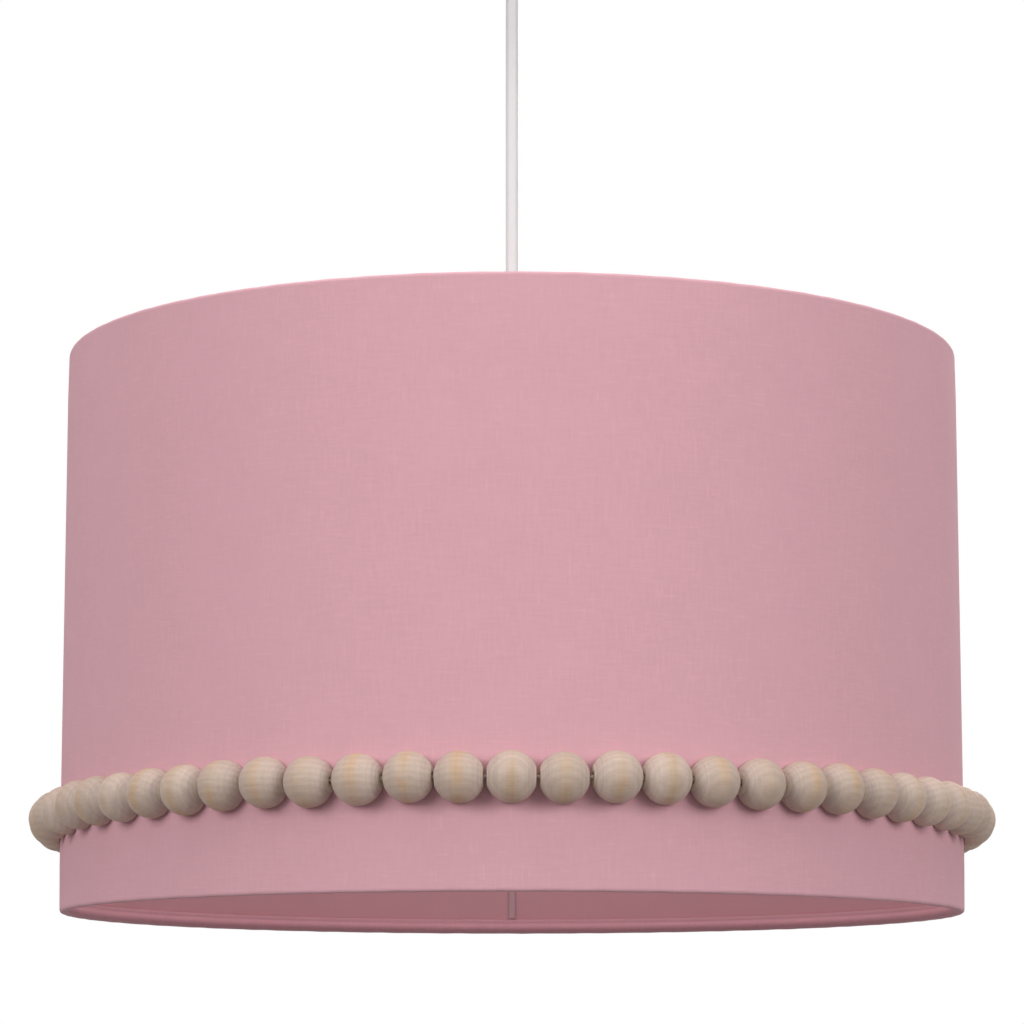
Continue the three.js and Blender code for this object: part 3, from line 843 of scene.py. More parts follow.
# Cord end in the rose. The sheath comes up through the grip, is cut off square above it, and is
# stripped from the two cores. It stops short of the grip's mouth, where the free cord turns.
rose_tail_low, rose_tail_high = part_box("rose_cord_tail")
mouth_room = 3 * MM
sheath_easing = 0.35 * MM
sheath_hollow = 0.3 * MM
core_radius = 1.2 * MM
core_hole_offset = 1.35 * MM
tail_sides = 40


def tail_mesh(name, start, cut_end):
    """A cut length of sheath whose cut end is slightly hollow round the cores."""
    out = math.copysign(1, cut_end - start)
    outline = [(0, start), (cord_radius, start), (cord_radius, cut_end - out * sheath_easing)]
    outline += [(cord_radius - sheath_easing, cut_end), (cord_radius - 2 * sheath_easing, cut_end)]
    outline.append((0, cut_end - out * sheath_hollow))
    return mesh_of(name, turned(outline, tail_sides), white_sheath)


rose_tail = tail_mesh("rose_cord_end", rose_tail_low.z + mouth_room, rose_tail_high.z)
piece_of(rose_tail, "rose", "white_flex", "rose_cord_tail")

# Cores. Two insulated copper cores, one brown and one blue, that part above the cut sheath and bend
# round into the two outer wells of the terminal block.
core_rise = 10 * MM
core_sweep = 26 * MM
core_steps = 24
core_sides = 16
core_end_gap = 0.3 * MM
nearly_along_x = 0.9
cores = {"brown": (-1, (108, 66, 42)), "blue": (1, (52, 98, 160))}


def bezier_points(a, b, c, d, steps):
    """Points along a cubic Bezier curve."""
    points = []
    for share in [step / steps for step in range(steps + 1)]:
        rest = 1 - share
        near = Vector(a) * rest**3 + Vector(b) * 3 * rest**2 * share
        points.append(near + Vector(c) * 3 * rest * share**2 + Vector(d) * share**3)
    return points


def walled(shape, rings):
    """Faces between each ring of corners and the next."""
    for first, second in zip(rings, rings[1:]):
        for i in range(len(first)):
            shape.faces.new((first[i - 1], first[i], second[i], second[i - 1]))


def bar_of(route, radii, sides):
    """A round bar along a route, with a radius for each point and closed ends."""
    shape = bmesh.new()
    rings = []
    across = None
    for i, spot in enumerate(route):
        ahead = (route[min(i + 1, len(route) - 1)] - route[max(i - 1, 0)]).normalized()
        guide = across or Vector((1, 0, 0) if abs(ahead.x) < nearly_along_x else (0, 1, 0))
        across = (guide - ahead * guide.dot(ahead)).normalized()
        other = ahead.cross(across)
        circle = circle_points(radii[i], sides)
        rings.append([shape.verts.new(spot + across * u + other * v) for u, v in circle])
    walled(shape, rings)
    shape.faces.new(rings[0])
    shape.faces.new(rings[-1])
    return shape


core_start = rose_tail_high.z
core_y = -(block_high.y - well_depth) - core_end_gap
for core_name, (side, core_colour) in cores.items():
    insulation = skin_material(
        f"{core_name}_insulation", core_colour, roughness=0.4, cloud=(0.08, 3), grain=(0.4, 0.02)
    )
    start_x = side * core_hole_offset
    end_x = side * well_pitch
    core_route = bezier_points(
        (start_x, 0, core_start), (start_x, 0, core_start + core_rise),
        (end_x, core_y - core_sweep, well_level), (end_x, core_y, well_level), core_steps,
    )
    core_shape = bar_of(core_route, [core_radius] * len(core_route), core_sides)
    core_mesh = mesh_of(f"{core_name}_core", core_shape, insulation)
    piece_of(core_mesh, "rose", f"{core_name}_core", f"rose_{core_name}_core")

# Cord grip and cord end of the lamp holder. The same bush, the other way up, on top of the holder's
# cap, with the sheath cut off under it inside the cap.
holder_grip_seat = -251.1 * MM
holder_screw_level = holder_grip_seat + side_screw_drop
holder_tail_low, holder_tail_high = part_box("holder_cord_tail")
holder_bush = grip_mesh("holder_bush", holder_grip_seat, holder_grip_high.z, holder_grip_low.z)
holder_bush = carved(holder_bush, [screw_seat(holder_screw_level)])
piece_of(holder_bush, "holder", "white_plastic", "holder_cord_grip")
side_screw("holder_bush_screw", holder_screw_level, "holder")
holder_tail = tail_mesh("holder_cord_end", holder_tail_high.z - mouth_room, holder_tail_low.z)
piece_of(holder_tail, "holder", "white_flex", "holder_cord_tail")

# Holder cap. A white moulded dome over the holder's wiring, with a bead at its lower edge and a flat
# crown for the cord grip.
cap_low, cap_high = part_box("holder_cap")
cap_radius = 23 * MM
cap_wall = 2 * MM
cap_crown = 8.15 * MM
cap_straight = 14 * MM
cap_hole = 5.25 * MM
cap_edge_bead = 0.45 * MM
cap_edge_height = 3 * MM
cap_easing = 0.4 * MM
dome_steps = 14
cap_sides = 96


def dome_line(inset):
    """The dome's outline from the top of its straight side to its flat crown, drawn in by an inset."""
    across = cap_radius - inset - cap_crown
    rise = cap_high.z - cap_low.z - cap_straight - inset
    line = []
    for turn in quarter_turns(dome_steps):
        line.append((cap_crown + across * math.cos(turn), cap_low.z + cap_straight + rise * math.sin(turn)))
    return line


cap_edge = cap_radius + cap_edge_bead
cap_edge_top = cap_low.z + cap_edge_height
cap_outline = eased([
    (cap_radius - cap_wall, cap_low.z, 0), (cap_edge, cap_low.z, cap_easing),
    (cap_edge, cap_edge_top, cap_easing), (cap_radius, cap_edge_top + cap_edge_bead, 0),
])
cap_outline += dome_line(0)
cap_outline += [(cap_hole + cap_easing, cap_high.z), (cap_hole, cap_high.z - cap_easing)]
cap_outline += [(cap_hole, cap_high.z - cap_wall), *reversed(dome_line(cap_wall))]
cap_mesh = mesh_of("domed_cap", turned(cap_outline, cap_sides), white_moulding)
piece_of(cap_mesh, "holder", "white_plastic", "holder_cap")

# Holder skirt. A white moulded tube with a flange that stands on the carrier's hub, and a round thread
# down its outside for the ring nut.
skirt_low, skirt_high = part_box("holder_skirt")
flange_radius = 23 * MM
flange_bottom = -282.7 * MM
flange_root = 0.3 * MM
skirt_radius = 19.5 * MM
skirt_bore = 16.3 * MM
skirt_easing = 0.5 * MM
skirt_sides = 96
ridge_radius = 0.42 * MM
ridge_pitch = 2.5 * MM
ridge_steps = 40
ridge_sides = 8
ridge_room = 1.5 * MM
ridge_fades_per_turn = 3


def at_bearing(bearing, radius, level):
    """The point at a turn from the front, a distance from the axis and a level."""
    return (radius * math.sin(bearing), -radius * math.cos(bearing), level)


skirt_outline = eased([
    (skirt_bore, skirt_low.z, skirt_easing), (skirt_radius, skirt_low.z, skirt_easing),
    (skirt_radius, flange_bottom, flange_root), (flange_radius, flange_bottom, skirt_easing),
    (flange_radius, skirt_high.z, skirt_easing), (skirt_bore, skirt_high.z, skirt_easing),
])
skirt_mesh = mesh_of("threaded_skirt", turned(skirt_outline, skirt_sides), white_moulding)
piece_of(skirt_mesh, "holder", "white_plastic", "holder_skirt")
ridge_start = skirt_low.z + ridge_room
ridge_turns = (flange_bottom - ridge_room - ridge_start) / ridge_pitch
ridge_count = int(ridge_turns * ridge_steps)
ridge_route = []
ridge_radii = []
for i in range(ridge_count + 1):
    level = ridge_start + ridge_pitch * i / ridge_steps
    ridge_route.append(Vector(at_bearing(FULL_TURN * i / ridge_steps, skirt_radius, level)))
    faded = (min(i, ridge_count - i) + 1) / ridge_steps * ridge_fades_per_turn
    ridge_radii.append(ridge_radius * min(1, faded))
ridge_shape = bar_of(ridge_route, ridge_radii, ridge_sides)
piece_of(mesh_of("skirt_thread", ridge_shape, white_moulding), "holder", "white_plastic")

# Ceramic insert. A disc of white porcelain in the top of the skirt, which carries the lamp's contacts,
# with a blind hole for the centre one.
insert_low, insert_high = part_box("holder_insert")
insert_radius = 16 * MM
insert_well = 3.5 * MM
insert_well_top = -287.9 * MM
insert_easing = 0.6 * MM
insert_well_easing = 0.3 * MM
insert_sides = 72

porcelain = skin_material(
    "porcelain", (240, 238, 230), roughness=0.28, cloud=(0.05, 5), grain=(0.6, 0.03),
    Coat_Weight=0.4, Coat_Roughness=0.15,
)
insert_outline = eased([
    (0, insert_high.z, 0), (insert_radius, insert_high.z, insert_easing),
    (insert_radius, insert_low.z, insert_easing), (insert_well, insert_low.z, insert_well_easing),
    (insert_well, insert_well_top, 0), (0, insert_well_top, 0),
], steps=1)
insert_mesh = mesh_of("porcelain_disc", turned(insert_outline, insert_sides), porcelain)
piece_of(insert_mesh, "holder", "ceramic", "holder_insert")

# Screw shell. Thin brass rolled to the round thread that a lamp's cap screws into, with its top
# turned in under the ceramic insert.
shell_low, shell_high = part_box("screw_shell")
shell_radius = 14 * MM
shell_wave = 0.6 * MM
shell_wall = 0.8 * MM
shell_pitch = 3.6 * MM
shell_mouth = 7.2 * MM
shell_rows = 60
shell_sides = 72
shell_flat = 1.6 * MM

rolled_brass = skin_material(
    "rolled_brass", (214, 184, 112), roughness=0.32, cloud=(0.2, 4), grain=(0.25, 0.008), Metallic=1.0
)
shell = bmesh.new()


def shell_ring(level, inset):
    """A row of the wall: a circle whose radius waves round it once, so that the waves climb."""
    ends = min(level - shell_low.z, shell_high.z - level) / shell_flat
    wave = shell_wave * min(max(ends, 0), 1)
    corners = []
    for turn in [FULL_TURN * i / shell_sides for i in range(shell_sides)]:
        climb = math.cos(FULL_TURN * (level - shell_low.z) / shell_pitch - turn)
        reach = shell_radius - shell_wave + wave * climb - inset
        corners.append(shell.verts.new((reach * math.cos(turn), reach * math.sin(turn), level)))
    return corners


shell_wall_top = shell_high.z - shell_wall
shell_step = (shell_wall_top - shell_low.z) / shell_rows
shell_levels = [shell_low.z + shell_step * number for number in range(shell_rows + 1)]
shell_rings = [shell_ring(level, 0.0) for level in [*shell_levels, shell_high.z]]
for level in (shell_high.z, shell_wall_top):
    shell_rings.append([shell.verts.new((x, y, level)) for x, y in circle_points(shell_mouth, shell_sides)])
shell_rings += [shell_ring(level, shell_wall) for level in reversed(shell_levels)]
walled(shell, [shell_rings[-1], *shell_rings])
piece_of(mesh_of("brass_shell", shell, rolled_brass), "holder", "brass", "screw_shell")

# Centre contact. A domed brass button on a spring in the insert's blind hole, which the tip of the
# lamp presses up.
contact_low, contact_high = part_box("centre_contact")
contact_radius = 3.2 * MM
contact_dome = 1.4 * MM
contact_dome_steps = 6
contact_easing = 0.3 * MM
contact_sides = 40

contact_corners = []
for turn in quarter_turns(contact_dome_steps):
    level = contact_low.z + contact_dome * (1 - math.cos(turn))
    contact_corners.append((contact_radius * math.sin(turn), level, 0))
contact_corners += [(contact_radius, contact_high.z, contact_easing), (0, contact_high.z, 0)]
contact_shape = turned(eased(contact_corners, steps=1), contact_sides)
contact_mesh = mesh_of("contact_button", contact_shape, rolled_brass)
piece_of(contact_mesh, "contact", "brass", "centre_contact")

# Ring nut. A white moulded nut screwed up the skirt to hold the hub, with a lip at its top and ribs
# round it for the fingers.
nut_low, nut_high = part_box("ring_nut")
nut_bore = 20.1 * MM
nut_radius = 24.1 * MM
nut_lip_radius = 27.1 * MM
nut_lip_height = 2.5 * MM
nut_lip_root = 0.4 * MM
nut_easing = 0.5 * MM
nut_sides = 108
rib_count = 36
rib_half_width = 0.9 * MM
rib_height = 0.9 * MM
rib_sink = 0.6 * MM
rib_easing = 0.35 * MM
rib_end_gap = 0.8 * MM
rib_lip_sink = 0.3 * MM

nut_lip_level = nut_high.z - nut_lip_height
nut_outline = eased([
    (nut_bore, nut_low.z, nut_easing), (nut_radius, nut_low.z, nut_easing),
    (nut_radius, nut_lip_level, nut_lip_root), (nut_lip_radius, nut_lip_level, nut_easing),
    (nut_lip_radius, nut_high.z, nut_easing), (nut_bore, nut_high.z, nut_easing),
])
nut_mesh = mesh_of("grip_nut", turned(nut_outline, nut_sides), white_moulding)
piece_of(nut_mesh, "nut", "white_plastic", "ring_nut")
rib_low = (-rib_half_width, -rib_height, nut_low.z + rib_end_gap)
rib_high = (rib_half_width, rib_sink, nut_lip_level + rib_lip_sink)
nut_rib = mesh_of("nut_rib", box_of(rib_low, rib_high), white_moulding, ease=rib_easing)
nut_ribs = grown("nut_ribs", copies, nut_rib, Count=rib_count, Radius=nut_radius, Material=white_moulding)
piece_of(nut_ribs, "nut", "white_plastic")

# Carrier hub. A flat ring of steel, punched and powder coated white, which hangs under the holder's
# flange and is held up against it by the ring nut.
hub_low, hub_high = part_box("carrier_hub")
hub_bore = 20.1 * MM
hub_radius = 26.6 * MM
hub_easing = 0.35 * MM

hub_outline = eased([
    (hub_bore, hub_low.z, hub_easing), (hub_radius, hub_low.z, hub_easing),
    (hub_radius, hub_high.z, hub_easing), (hub_bore, hub_high.z, hub_easing),
])
hub_mesh = mesh_of("hub_ring", turned(hub_outline, nut_sides), white_coat)
piece_of(hub_mesh, "shade", "white_metal", "carrier_hub")

# Carrier arms. Three lengths of steel rod that sweep up from the hub to the top wire, welded at both
# ends with a small bead of weld and powder coated with the rest of the frame.
arm_radius = 1.4 * MM
arm_start = 26.75 * MM
arm_end = 195.7 * MM
arm_bend = 60 * MM
arm_steps = 40
arm_sides = 16
arm_count = 3
weld_radius = 1.9 * MM
weld_length = 2.6 * MM
arm_level = middle_level("carrier_hub")
top_wire_level = middle_level("top_wire")


def swollen(radius, weld, length, distance):
    """A rod's radius at a distance from a weld, which swells it over a length."""
    return radius + (weld - radius) * math.exp(-((distance / length) ** 2))


arm_route = bezier_points(
    (0, -arm_start, arm_level), (0, -arm_start - arm_bend, arm_level),
    (0, -arm_end + arm_bend, top_wire_level), (0, -arm_end, top_wire_level), arm_steps,
)
from_welds = [min(-spot.y - arm_start, arm_end + spot.y) for spot in arm_route]
arm_radii = [swollen(arm_radius, weld_radius, weld_length, distance) for distance in from_welds]
arm_mesh = mesh_of("carrier_rod", bar_of(arm_route, arm_radii, arm_sides), white_coat)
arm_nodes = [f"carrier_arm_{number}" for number in range(1, arm_count + 1)]
carrier_rods = grown(
    "carrier_rods", copies, arm_mesh, Count=arm_count, Start_Turn=math.pi, Material=white_coat
)
piece_of(carrier_rods, "shade", "white_metal", *arm_nodes)

# Edge wires. Two hoops of 3 mm steel rod, rolled round, butt-welded at the back and powder coated
# white. The cover is turned in round them.
bottom_wire_level = middle_level("bottom_wire")
wire_circle = 197.4 * MM
wire_radius = 1.5 * MM
wire_sides = 14
hoop_steps = 248
hoop_sharpness = 80
butt_radius = 1.75 * MM
butt_length = 2.2 * MM

for hoop_name, level, node in (
    ("top_hoop", top_wire_level, "top_wire"), ("bottom_hoop", bottom_wire_level, "bottom_wire"),
):
    hoop = bmesh.new()
    hoop_rings = []
    for i in range(hoop_steps):
        from_weld = min(i, hoop_steps - i) / hoop_steps * FULL_TURN * wire_circle
        radius = swollen(wire_radius, butt_radius, butt_length, from_weld)
        bearing = math.pi + FULL_TURN * i / hoop_steps
        section = circle_points(radius, wire_sides, (wire_circle, level))
        hoop_rings.append([hoop.verts.new(at_bearing(bearing, r, z)) for r, z in section])
    walled(hoop, [hoop_rings[-1], *hoop_rings])
    piece_of(mesh_of(hoop_name, hoop, white_coat, hoop_sharpness), "shade", "white_metal", node)

# Lining. A stiff translucent plastic sheet rolled to a sleeve, with the cloth of the cover bonded to
# its outside, so that the pink and the weave show through it.
lining_low, lining_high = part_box("lining")
lining_outer = 198.9 * MM
lining_inner = 197.9 * MM
lining_bands = 12
lining_columns = 248
weave_pitch = 0.45 * MM
yarn_waver = 0.9
yarn_waver_scale = 0.06
crown_power = 0.6
tone_scale = 1.7
tone_stretch = 0.03
tone_layers = (37.0, 0.0)
slub_range = (0.56, 0.75)
slub_across = 900.0
slub_along = 90.0
slub_layers = (5.0, 11.0)
cloth_cloud_scale = 38.0
mean_height = 0.6

# Plain-woven cloth from a place on it in metres: its over-and-under height, each thread's tone and painted
# shade in the hollows.
woven, cloth, woven_out = group_of(
    "ShaderNodeTree", "woven_cloth",
    {"Vector": ["Vector"], "Color": ["Colour"], "Float": ["Pitch", "Slub", "Hollow", "Streaks", "Clouding"]},
    {"Color": ["Colour"], "Float": ["Height"]},
)
laid = fed(woven, "ShaderNodeSeparateXYZ", {0: cloth["Vector"]})
waver = (noise(cloth["Vector"], maths("DIVIDE", yarn_waver_scale, cloth["Pitch"])) - 0.5) * yarn_waver
warp_count = laid[0] / cloth["Pitch"] + waver
weft_count = laid[1] / cloth["Pitch"] + waver
warp_number = maths("FLOOR", warp_count)
weft_number = maths("FLOOR", weft_count)
checker = maths("MODULO", warp_number + weft_number, 2.0)
warp_up = maths("GREATER_THAN", maths("ABSOLUTE", checker), 0.5)


def thread_crown(count):
    """The round crown of a thread across its width."""
    wave = maths("SINE", maths("FRACT", count) * math.pi)
    return maths("POWER", maths("MAXIMUM", wave, 0.0), crown_power)


def thread_tone(number, along, layer):
    """The light and dark of one thread, which changes slowly along it."""
    return noise(vector(number, along * tone_stretch, layer), tone_scale, detail=1)


def chosen(first, second):
    """The first value where the weft is on top and the second where the warp is."""
    return fed(woven, "ShaderNodeMix", {0: warp_up, 2: first, 3: second}, data_type="FLOAT")[0]


def slub_streaks(x_scale, y_scale, layer):
    """Short thick places in the yarn, as streaks that run one way."""
    streak = noise(vector(laid[0] * x_scale, laid[1] * y_scale, layer), 1.0)
    return spread(streak, *slub_range, smooth=True)


crowns = (thread_crown(weft_count), thread_crown(warp_count))
cloth_height = chosen(*crowns) * (chosen(*reversed(crowns)) * 0.5 + 0.5)
weft_tone = thread_tone(weft_number, warp_count, tone_layers[0])
warp_tone = thread_tone(warp_number, weft_count, tone_layers[1])
across_slubs = slub_streaks(slub_across, slub_along, slub_layers[0])
along_slubs = slub_streaks(slub_along, slub_across, slub_layers[1])
cloth_cloud = noise(cloth["Vector"], cloth_cloud_scale, detail=4) - 0.5
cloth_light = (chosen(weft_tone, warp_tone) - 0.5) * cloth["Slub"] + 1.0
# Painted shade: the colour is darker where the threads dip between crossings and lighter on their crowns.
cloth_light = cloth_light + (cloth_height - mean_height) * cloth["Hollow"]
cloth_light = cloth_light + (across_slubs + along_slubs) * cloth["Streaks"]
cloth_light = cloth_light + cloth_cloud * cloth["Clouding"]
times(cloth["Colour"], cloth_light).into(woven_out["Colour"])
cloth_height.into(woven_out["Height"])


def cloth_material(name, colour, depth, weave, **sockets):
    """A material whose look is the woven cloth group, laid out by the UV map in metres."""
    material, tree, shader = principled(name, **sockets)
    values = {"Vector": fed(tree, "ShaderNodeUVMap")[0], "Colour": colour_of(colour), **weave}
    look = fed(tree, "ShaderNodeGroup", values, node_tree=woven)
    look["Colour"].into(shader["Base Color"])
    bumped(look["Height"], depth, shader)
    return material


def wrapped(bearings, line, place_radius, closed_line, lift=None, left_out=None):
    """Quads wrapped round the axis, with a UV map in metres: columns at bearings, rows along a line."""
    shape = bmesh.new()
    places = shape.loops.layers.uv.new("cloth_place")
    runs = [0.0]
    for here, there in zip(line, line[1:] + line[:1]):
        runs.append(runs[-1] + math.dist(here, there))
    grid = []
    for bearing in bearings:
        lifted = [lift(bearing, *point) if lift else point for point in line]
        grid.append([shape.verts.new(at_bearing(bearing, *point)) for point in lifted])
    for i, bearing in enumerate(bearings):
        after = (i + 1) % len(bearings)
        bearing_after = bearings[after] + (FULL_TURN if after == 0 else 0)
        for k in range(len(line) if closed_line else len(line) - 1):
            above = (k + 1) % len(line)
            if left_out and left_out(bearing, bearing_after, line[k], line[above]):
                continue
            face = shape.faces.new((grid[i][k], grid[after][k], grid[after][above], grid[i][above]))
            corners = [(bearing, k), (bearing_after, k), (bearing_after, k + 1), (bearing, k + 1)]
            for loop, (turn, run) in zip(face.loops, corners):
                loop[places].uv = (turn * place_radius, runs[run])
    return shape


lined_cloth = cloth_material(
    "lined_cloth", (230, 179, 187), 0.01 * MM,
    {"Pitch": weave_pitch, "Slub": 0.06, "Hollow": 0.03, "Streaks": 0.02, "Clouding": 0.08},
    Roughness=0.6,
)
lining_step = (lining_high.z - lining_low.z) / lining_bands
lining_levels = [lining_low.z + lining_step * k for k in range(lining_bands + 1)]
lining_line = [(lining_inner, level) for level in lining_levels]
lining_line += [(lining_outer, level) for level in reversed(lining_levels)]
lining_bearings = [math.pi + FULL_TURN * i / lining_columns for i in range(lining_columns)]
sleeve_shape = wrapped(lining_bearings, lining_line, lining_inner, closed_line=True)
stiff_sleeve = piece_of(mesh_of("stiff_sleeve", sleeve_shape, lined_cloth), "shade", "lining", "lining")

# Seam tape. A narrow pale woven tape, glued upright over the lining's joint inside the back, between
# the two folded hems.
tape_low, tape_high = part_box("seam_tape")
tape_steps = 60
tape_easing = 0.12 * MM
tape_waver = 0.06 * MM
tape_waver_rate = 0.9
tape_pitch = 0.4 * MM

pale_tape = cloth_material(
    "pale_tape", (216, 187, 192), 0.03 * MM,
    {"Pitch": tape_pitch, "Slub": 0.1, "Hollow": 0.12, "Streaks": 0.0, "Clouding": 0.08}, Roughness=0.85,
)
tape_shape = bmesh.new()
tape_places = tape_shape.loops.layers.uv.new("cloth_place")
tape_half = (tape_high.x - tape_low.x) / 2
tape_depth = tape_high.y - tape_low.y
tape_section = [
    (-tape_half, tape_easing), (-tape_half + tape_easing, 0), (tape_half - tape_easing, 0),
    (tape_half, tape_easing), (tape_half, tape_depth), (-tape_half, tape_depth),
]
tape_rows = []
for step in range(tape_steps + 1):
    level = tape_low.z + (tape_high.z - tape_low.z) * step / tape_steps
    waver = tape_waver * math.sin(step * tape_waver_rate) if 0 < step < tape_steps else 0
    tape_rows.append([tape_shape.verts.new((x + waver, tape_low.y + y, level)) for x, y in tape_section])
walled(tape_shape, tape_rows)
for face in tape_shape.faces:
    for loop in face.loops:
        loop[tape_places].uv = (loop.vert.co.x, loop.vert.co.z)
tape_shape.faces.new(tape_rows[0])
tape_shape.faces.new(tape_rows[-1])
piece_of(mesh_of("glued_tape", tape_shape, pale_tape), "shade", "tape", "seam_tape")

# Fabric cover. One strip of pink plain-woven cotton, wrapped round the drum and bonded to the lining,
# lapped at the back, and turned in round both wires with its raw edges glued down inside.
cloth_thickness = 0.8 * MM
cover_radius = cover_high.x - cloth_thickness / 2
cover_sharpness = 60
fold_radius = 1.95 * MM
fold_end = math.radians(225)
fold_steps = 20
fold_squareness = 5
flap_radius = 197.2 * MM
flap_length = 2 * MM
flap_bend = 0.2 * MM
cover_columns = 372
cover_bands = 14
slit_level = -247.9 * MM
slit_width = 0.4
lap_width = 12 * MM
lap_lift = 0.3 * MM
lap_edge_width = 0.2 * MM
pucker = 0.05 * MM
pucker_rates = (61, 97)
pucker_share = 0.7

pink_cotton = cloth_material(
    "pink_cotton", (218, 166, 176), 0.05 * MM,
    {"Pitch": weave_pitch, "Slub": 0.16, "Hollow": 0.06, "Streaks": 0.05, "Clouding": 0.06},
    Roughness=0.92, Sheen_Weight=0.05, Sheen_Roughness=0.5,
)


def hem_line(level, inward):
    """The turned-in edge round one wire, from the outside of the cover to the raw end of its flap."""
    line = []
    for step in range(fold_steps + 1):
        turn = fold_end * step / fold_steps
        power = fold_squareness if turn < math.pi / 2 else 2
        span = (abs(math.cos(turn)) ** power + abs(math.sin(turn)) ** power) ** (1 / power)
        reach = wire_circle + fold_radius * math.cos(turn) / span
        line.append((reach, level - inward * fold_radius * math.sin(turn) / span))
    last_radius, last_level = line[-1]
    rise = flap_radius - last_radius
    line.append((flap_radius - flap_bend, last_level + inward * (rise - flap_bend)))
    line.append((flap_radius, last_level + inward * (rise + flap_bend)))
    line.append((flap_radius, last_level + inward * (rise + flap_length)))
    return line


bottom_line = hem_line(bottom_wire_level, 1)
top_line = hem_line(top_wire_level, -1)
band_height = (top_line[0][1] - bottom_line[0][1]) / cover_bands
outside_line = [(cover_radius, bottom_line[0][1] + band_height * k) for k in range(1, cover_bands)]
cover_line = bottom_line[::-1] + outside_line + top_line

# The columns start at the lap's edge, just past the back. One column is centred on each arm.
lap_turn = lap_width / cover_radius
lap_edge = math.pi + lap_turn / 2
column_turn = FULL_TURN / cover_columns
first_column = math.ceil(lap_edge / column_turn - 0.5) + 0.5
cover_bearings = {(first_column + i) * column_turn for i in range(cover_columns)}
cover_bearings |= {lap_edge, lap_edge + FULL_TURN - lap_edge_width / cover_radius}
arm_bearings = [math.pi + FULL_TURN * number / arm_count for number in range(arm_count)]


def cloth_lift(bearing, radius, level):
    """Where the cloth lies: lifted over the lap at the back and slightly puckered on the wires."""
    to_edge = (lap_edge + FULL_TURN - bearing) / lap_turn
    lift = lap_lift * min(max(2 - to_edge, 0), 1) if radius > wire_circle else 0
    top_fold = max(level - top_wire_level, 0) / fold_radius
    bottom_fold = max(bottom_wire_level - level, 0) / fold_radius
    ripple = math.sin(bearing * pucker_rates[0]) + pucker_share * math.sin(bearing * pucker_rates[1] + 1)
    return radius + lift, level + pucker * ripple * (top_fold - bottom_fold)


def at_arm_slit(bearing, bearing_after, point, point_after):
    """Whether a face lies in the slit that lets one of the arms through the top hem."""
    middle = (bearing + bearing_after) / 2
    from_arm = min(abs(math.remainder(middle - arm, FULL_TURN)) for arm in arm_bearings)
    inside = point[0] + point_after[0] < 2 * wire_circle
    in_hem = (top_wire_level + bottom_wire_level) / 2 < min(point[1], point_after[1]) < slit_level
    return from_arm < slit_width * column_turn and inside and in_hem


cover_shape = wrapped(
    sorted(cover_bearings), cover_line, cover_radius, closed_line=False, lift=cloth_lift,
    left_out=at_arm_slit,
)
cover_holder = added("cotton_sheet", mesh_of("cotton_sheet", cover_shape, pink_cotton, cover_sharpness))
thickened = cover_holder.modifiers.new("thickness", "SOLIDIFY")
thickened.thickness = cloth_thickness
thickened.offset = 0
cotton_cover = piece_of(settled(cover_holder, "cotton_cover"), "shade", "cotton", "fabric_cover")

# Beads. 62 balls turned from raw pale wood and bored through, strung on one thread round the outside
# of the cover, each with a flat back that is glued to it. No two have the same grain.
bead_count = 62
bead_radius = 10.4 * MM
bead_back = 3.3 * MM
bead_end_radius = 3.75 * MM
bead_bore = 1.5 * MM
bead_countersink = 0.5 * MM
bead_circle = 203.64 * MM
bead_lean = math.radians(1.2)
bead_slip = 0.35 * MM
bead_growth = 0.008
bead_seed = 7
bead_sides = 40
bead_steps = 22
row_level = -456 * MM
row_tilt = math.radians(-1.4)
band_half_width = 2.3 * MM
band_blur = 2.2 * MM
band_waver = 2.6 * MM
band_waver_scale = 260.0
patch_scale = 75.0
patch_range = (0.38, 0.6, 0.25, 1.0)
end_range = (5.4 * MM, 9.0 * MM)
end_edge_range = (9.2 * MM, 9.4 * MM)
line_scale = 950.0
line_range = (3 * MM, 8 * MM, 0.25, 0.7)
line_bump = 0.08 * MM
fibre_scales = (70, 1100, 1100)
fibre_share = 0.3
ring_values = {"Scale": 120.0, "Distortion": 1.6, "Detail": 2.0, "Detail Scale": 1.0}
ring_share = 0.08
chance_spread = 3.0
pale_wood_colours = ((184, 163, 149), (198, 177, 163))
band_wood_colours = ((193, 160, 129), (188, 161, 135))
end_wood_colour = (190, 171, 160)
end_edge_colour = (204, 187, 172)

# Raw turned wood, from each bead's own place, where X runs along the hole: turning lines round the
# hole, patches of a darker band round the middle, and paler ends with a light edge.
raw_wood, wood_tree, wood_shader = principled("raw_wood", Roughness=0.6)
own_place = fed(wood_tree, "ShaderNodeAttribute", attribute_name="own_place")["Vector"]
own_chance = fed(wood_tree, "ShaderNodeAttribute", attribute_name="copy_chance")["Vector"]
chances = fed(wood_tree, "ShaderNodeSeparateXYZ", {0: own_chance})
along_hole = fed(wood_tree, "ShaderNodeSeparateXYZ", {0: own_place})[0]
off_middle = maths("ABSOLUTE", along_hole)
shifted = {0: own_place, 1: times(own_chance, chance_spread)}
wood_place = fed(wood_tree, "ShaderNodeVectorMath", shifted, operation="ADD")[0]
band_edge = off_middle + (noise(wood_place, band_waver_scale, detail=3) - 0.5) * band_waver
band_ends = (band_half_width - band_blur, band_half_width + band_blur)
in_band = spread(band_edge, *band_ends, 1.0, 0.0, smooth=True)
in_patch = spread(noise(wood_place, patch_scale), *patch_range, smooth=True)
at_end = spread(off_middle, *end_range, smooth=True)
at_edge = spread(off_middle, *end_edge_range, smooth=True)
pale_wood = blended(chances[0], *map(colour_of, pale_wood_colours))
band_wood = blended(chances[1], *map(colour_of, band_wood_colours))
side_wood = blended(at_end, pale_wood, colour_of(end_wood_colour))
side_wood = blended(at_edge, side_wood, colour_of(end_edge_colour))
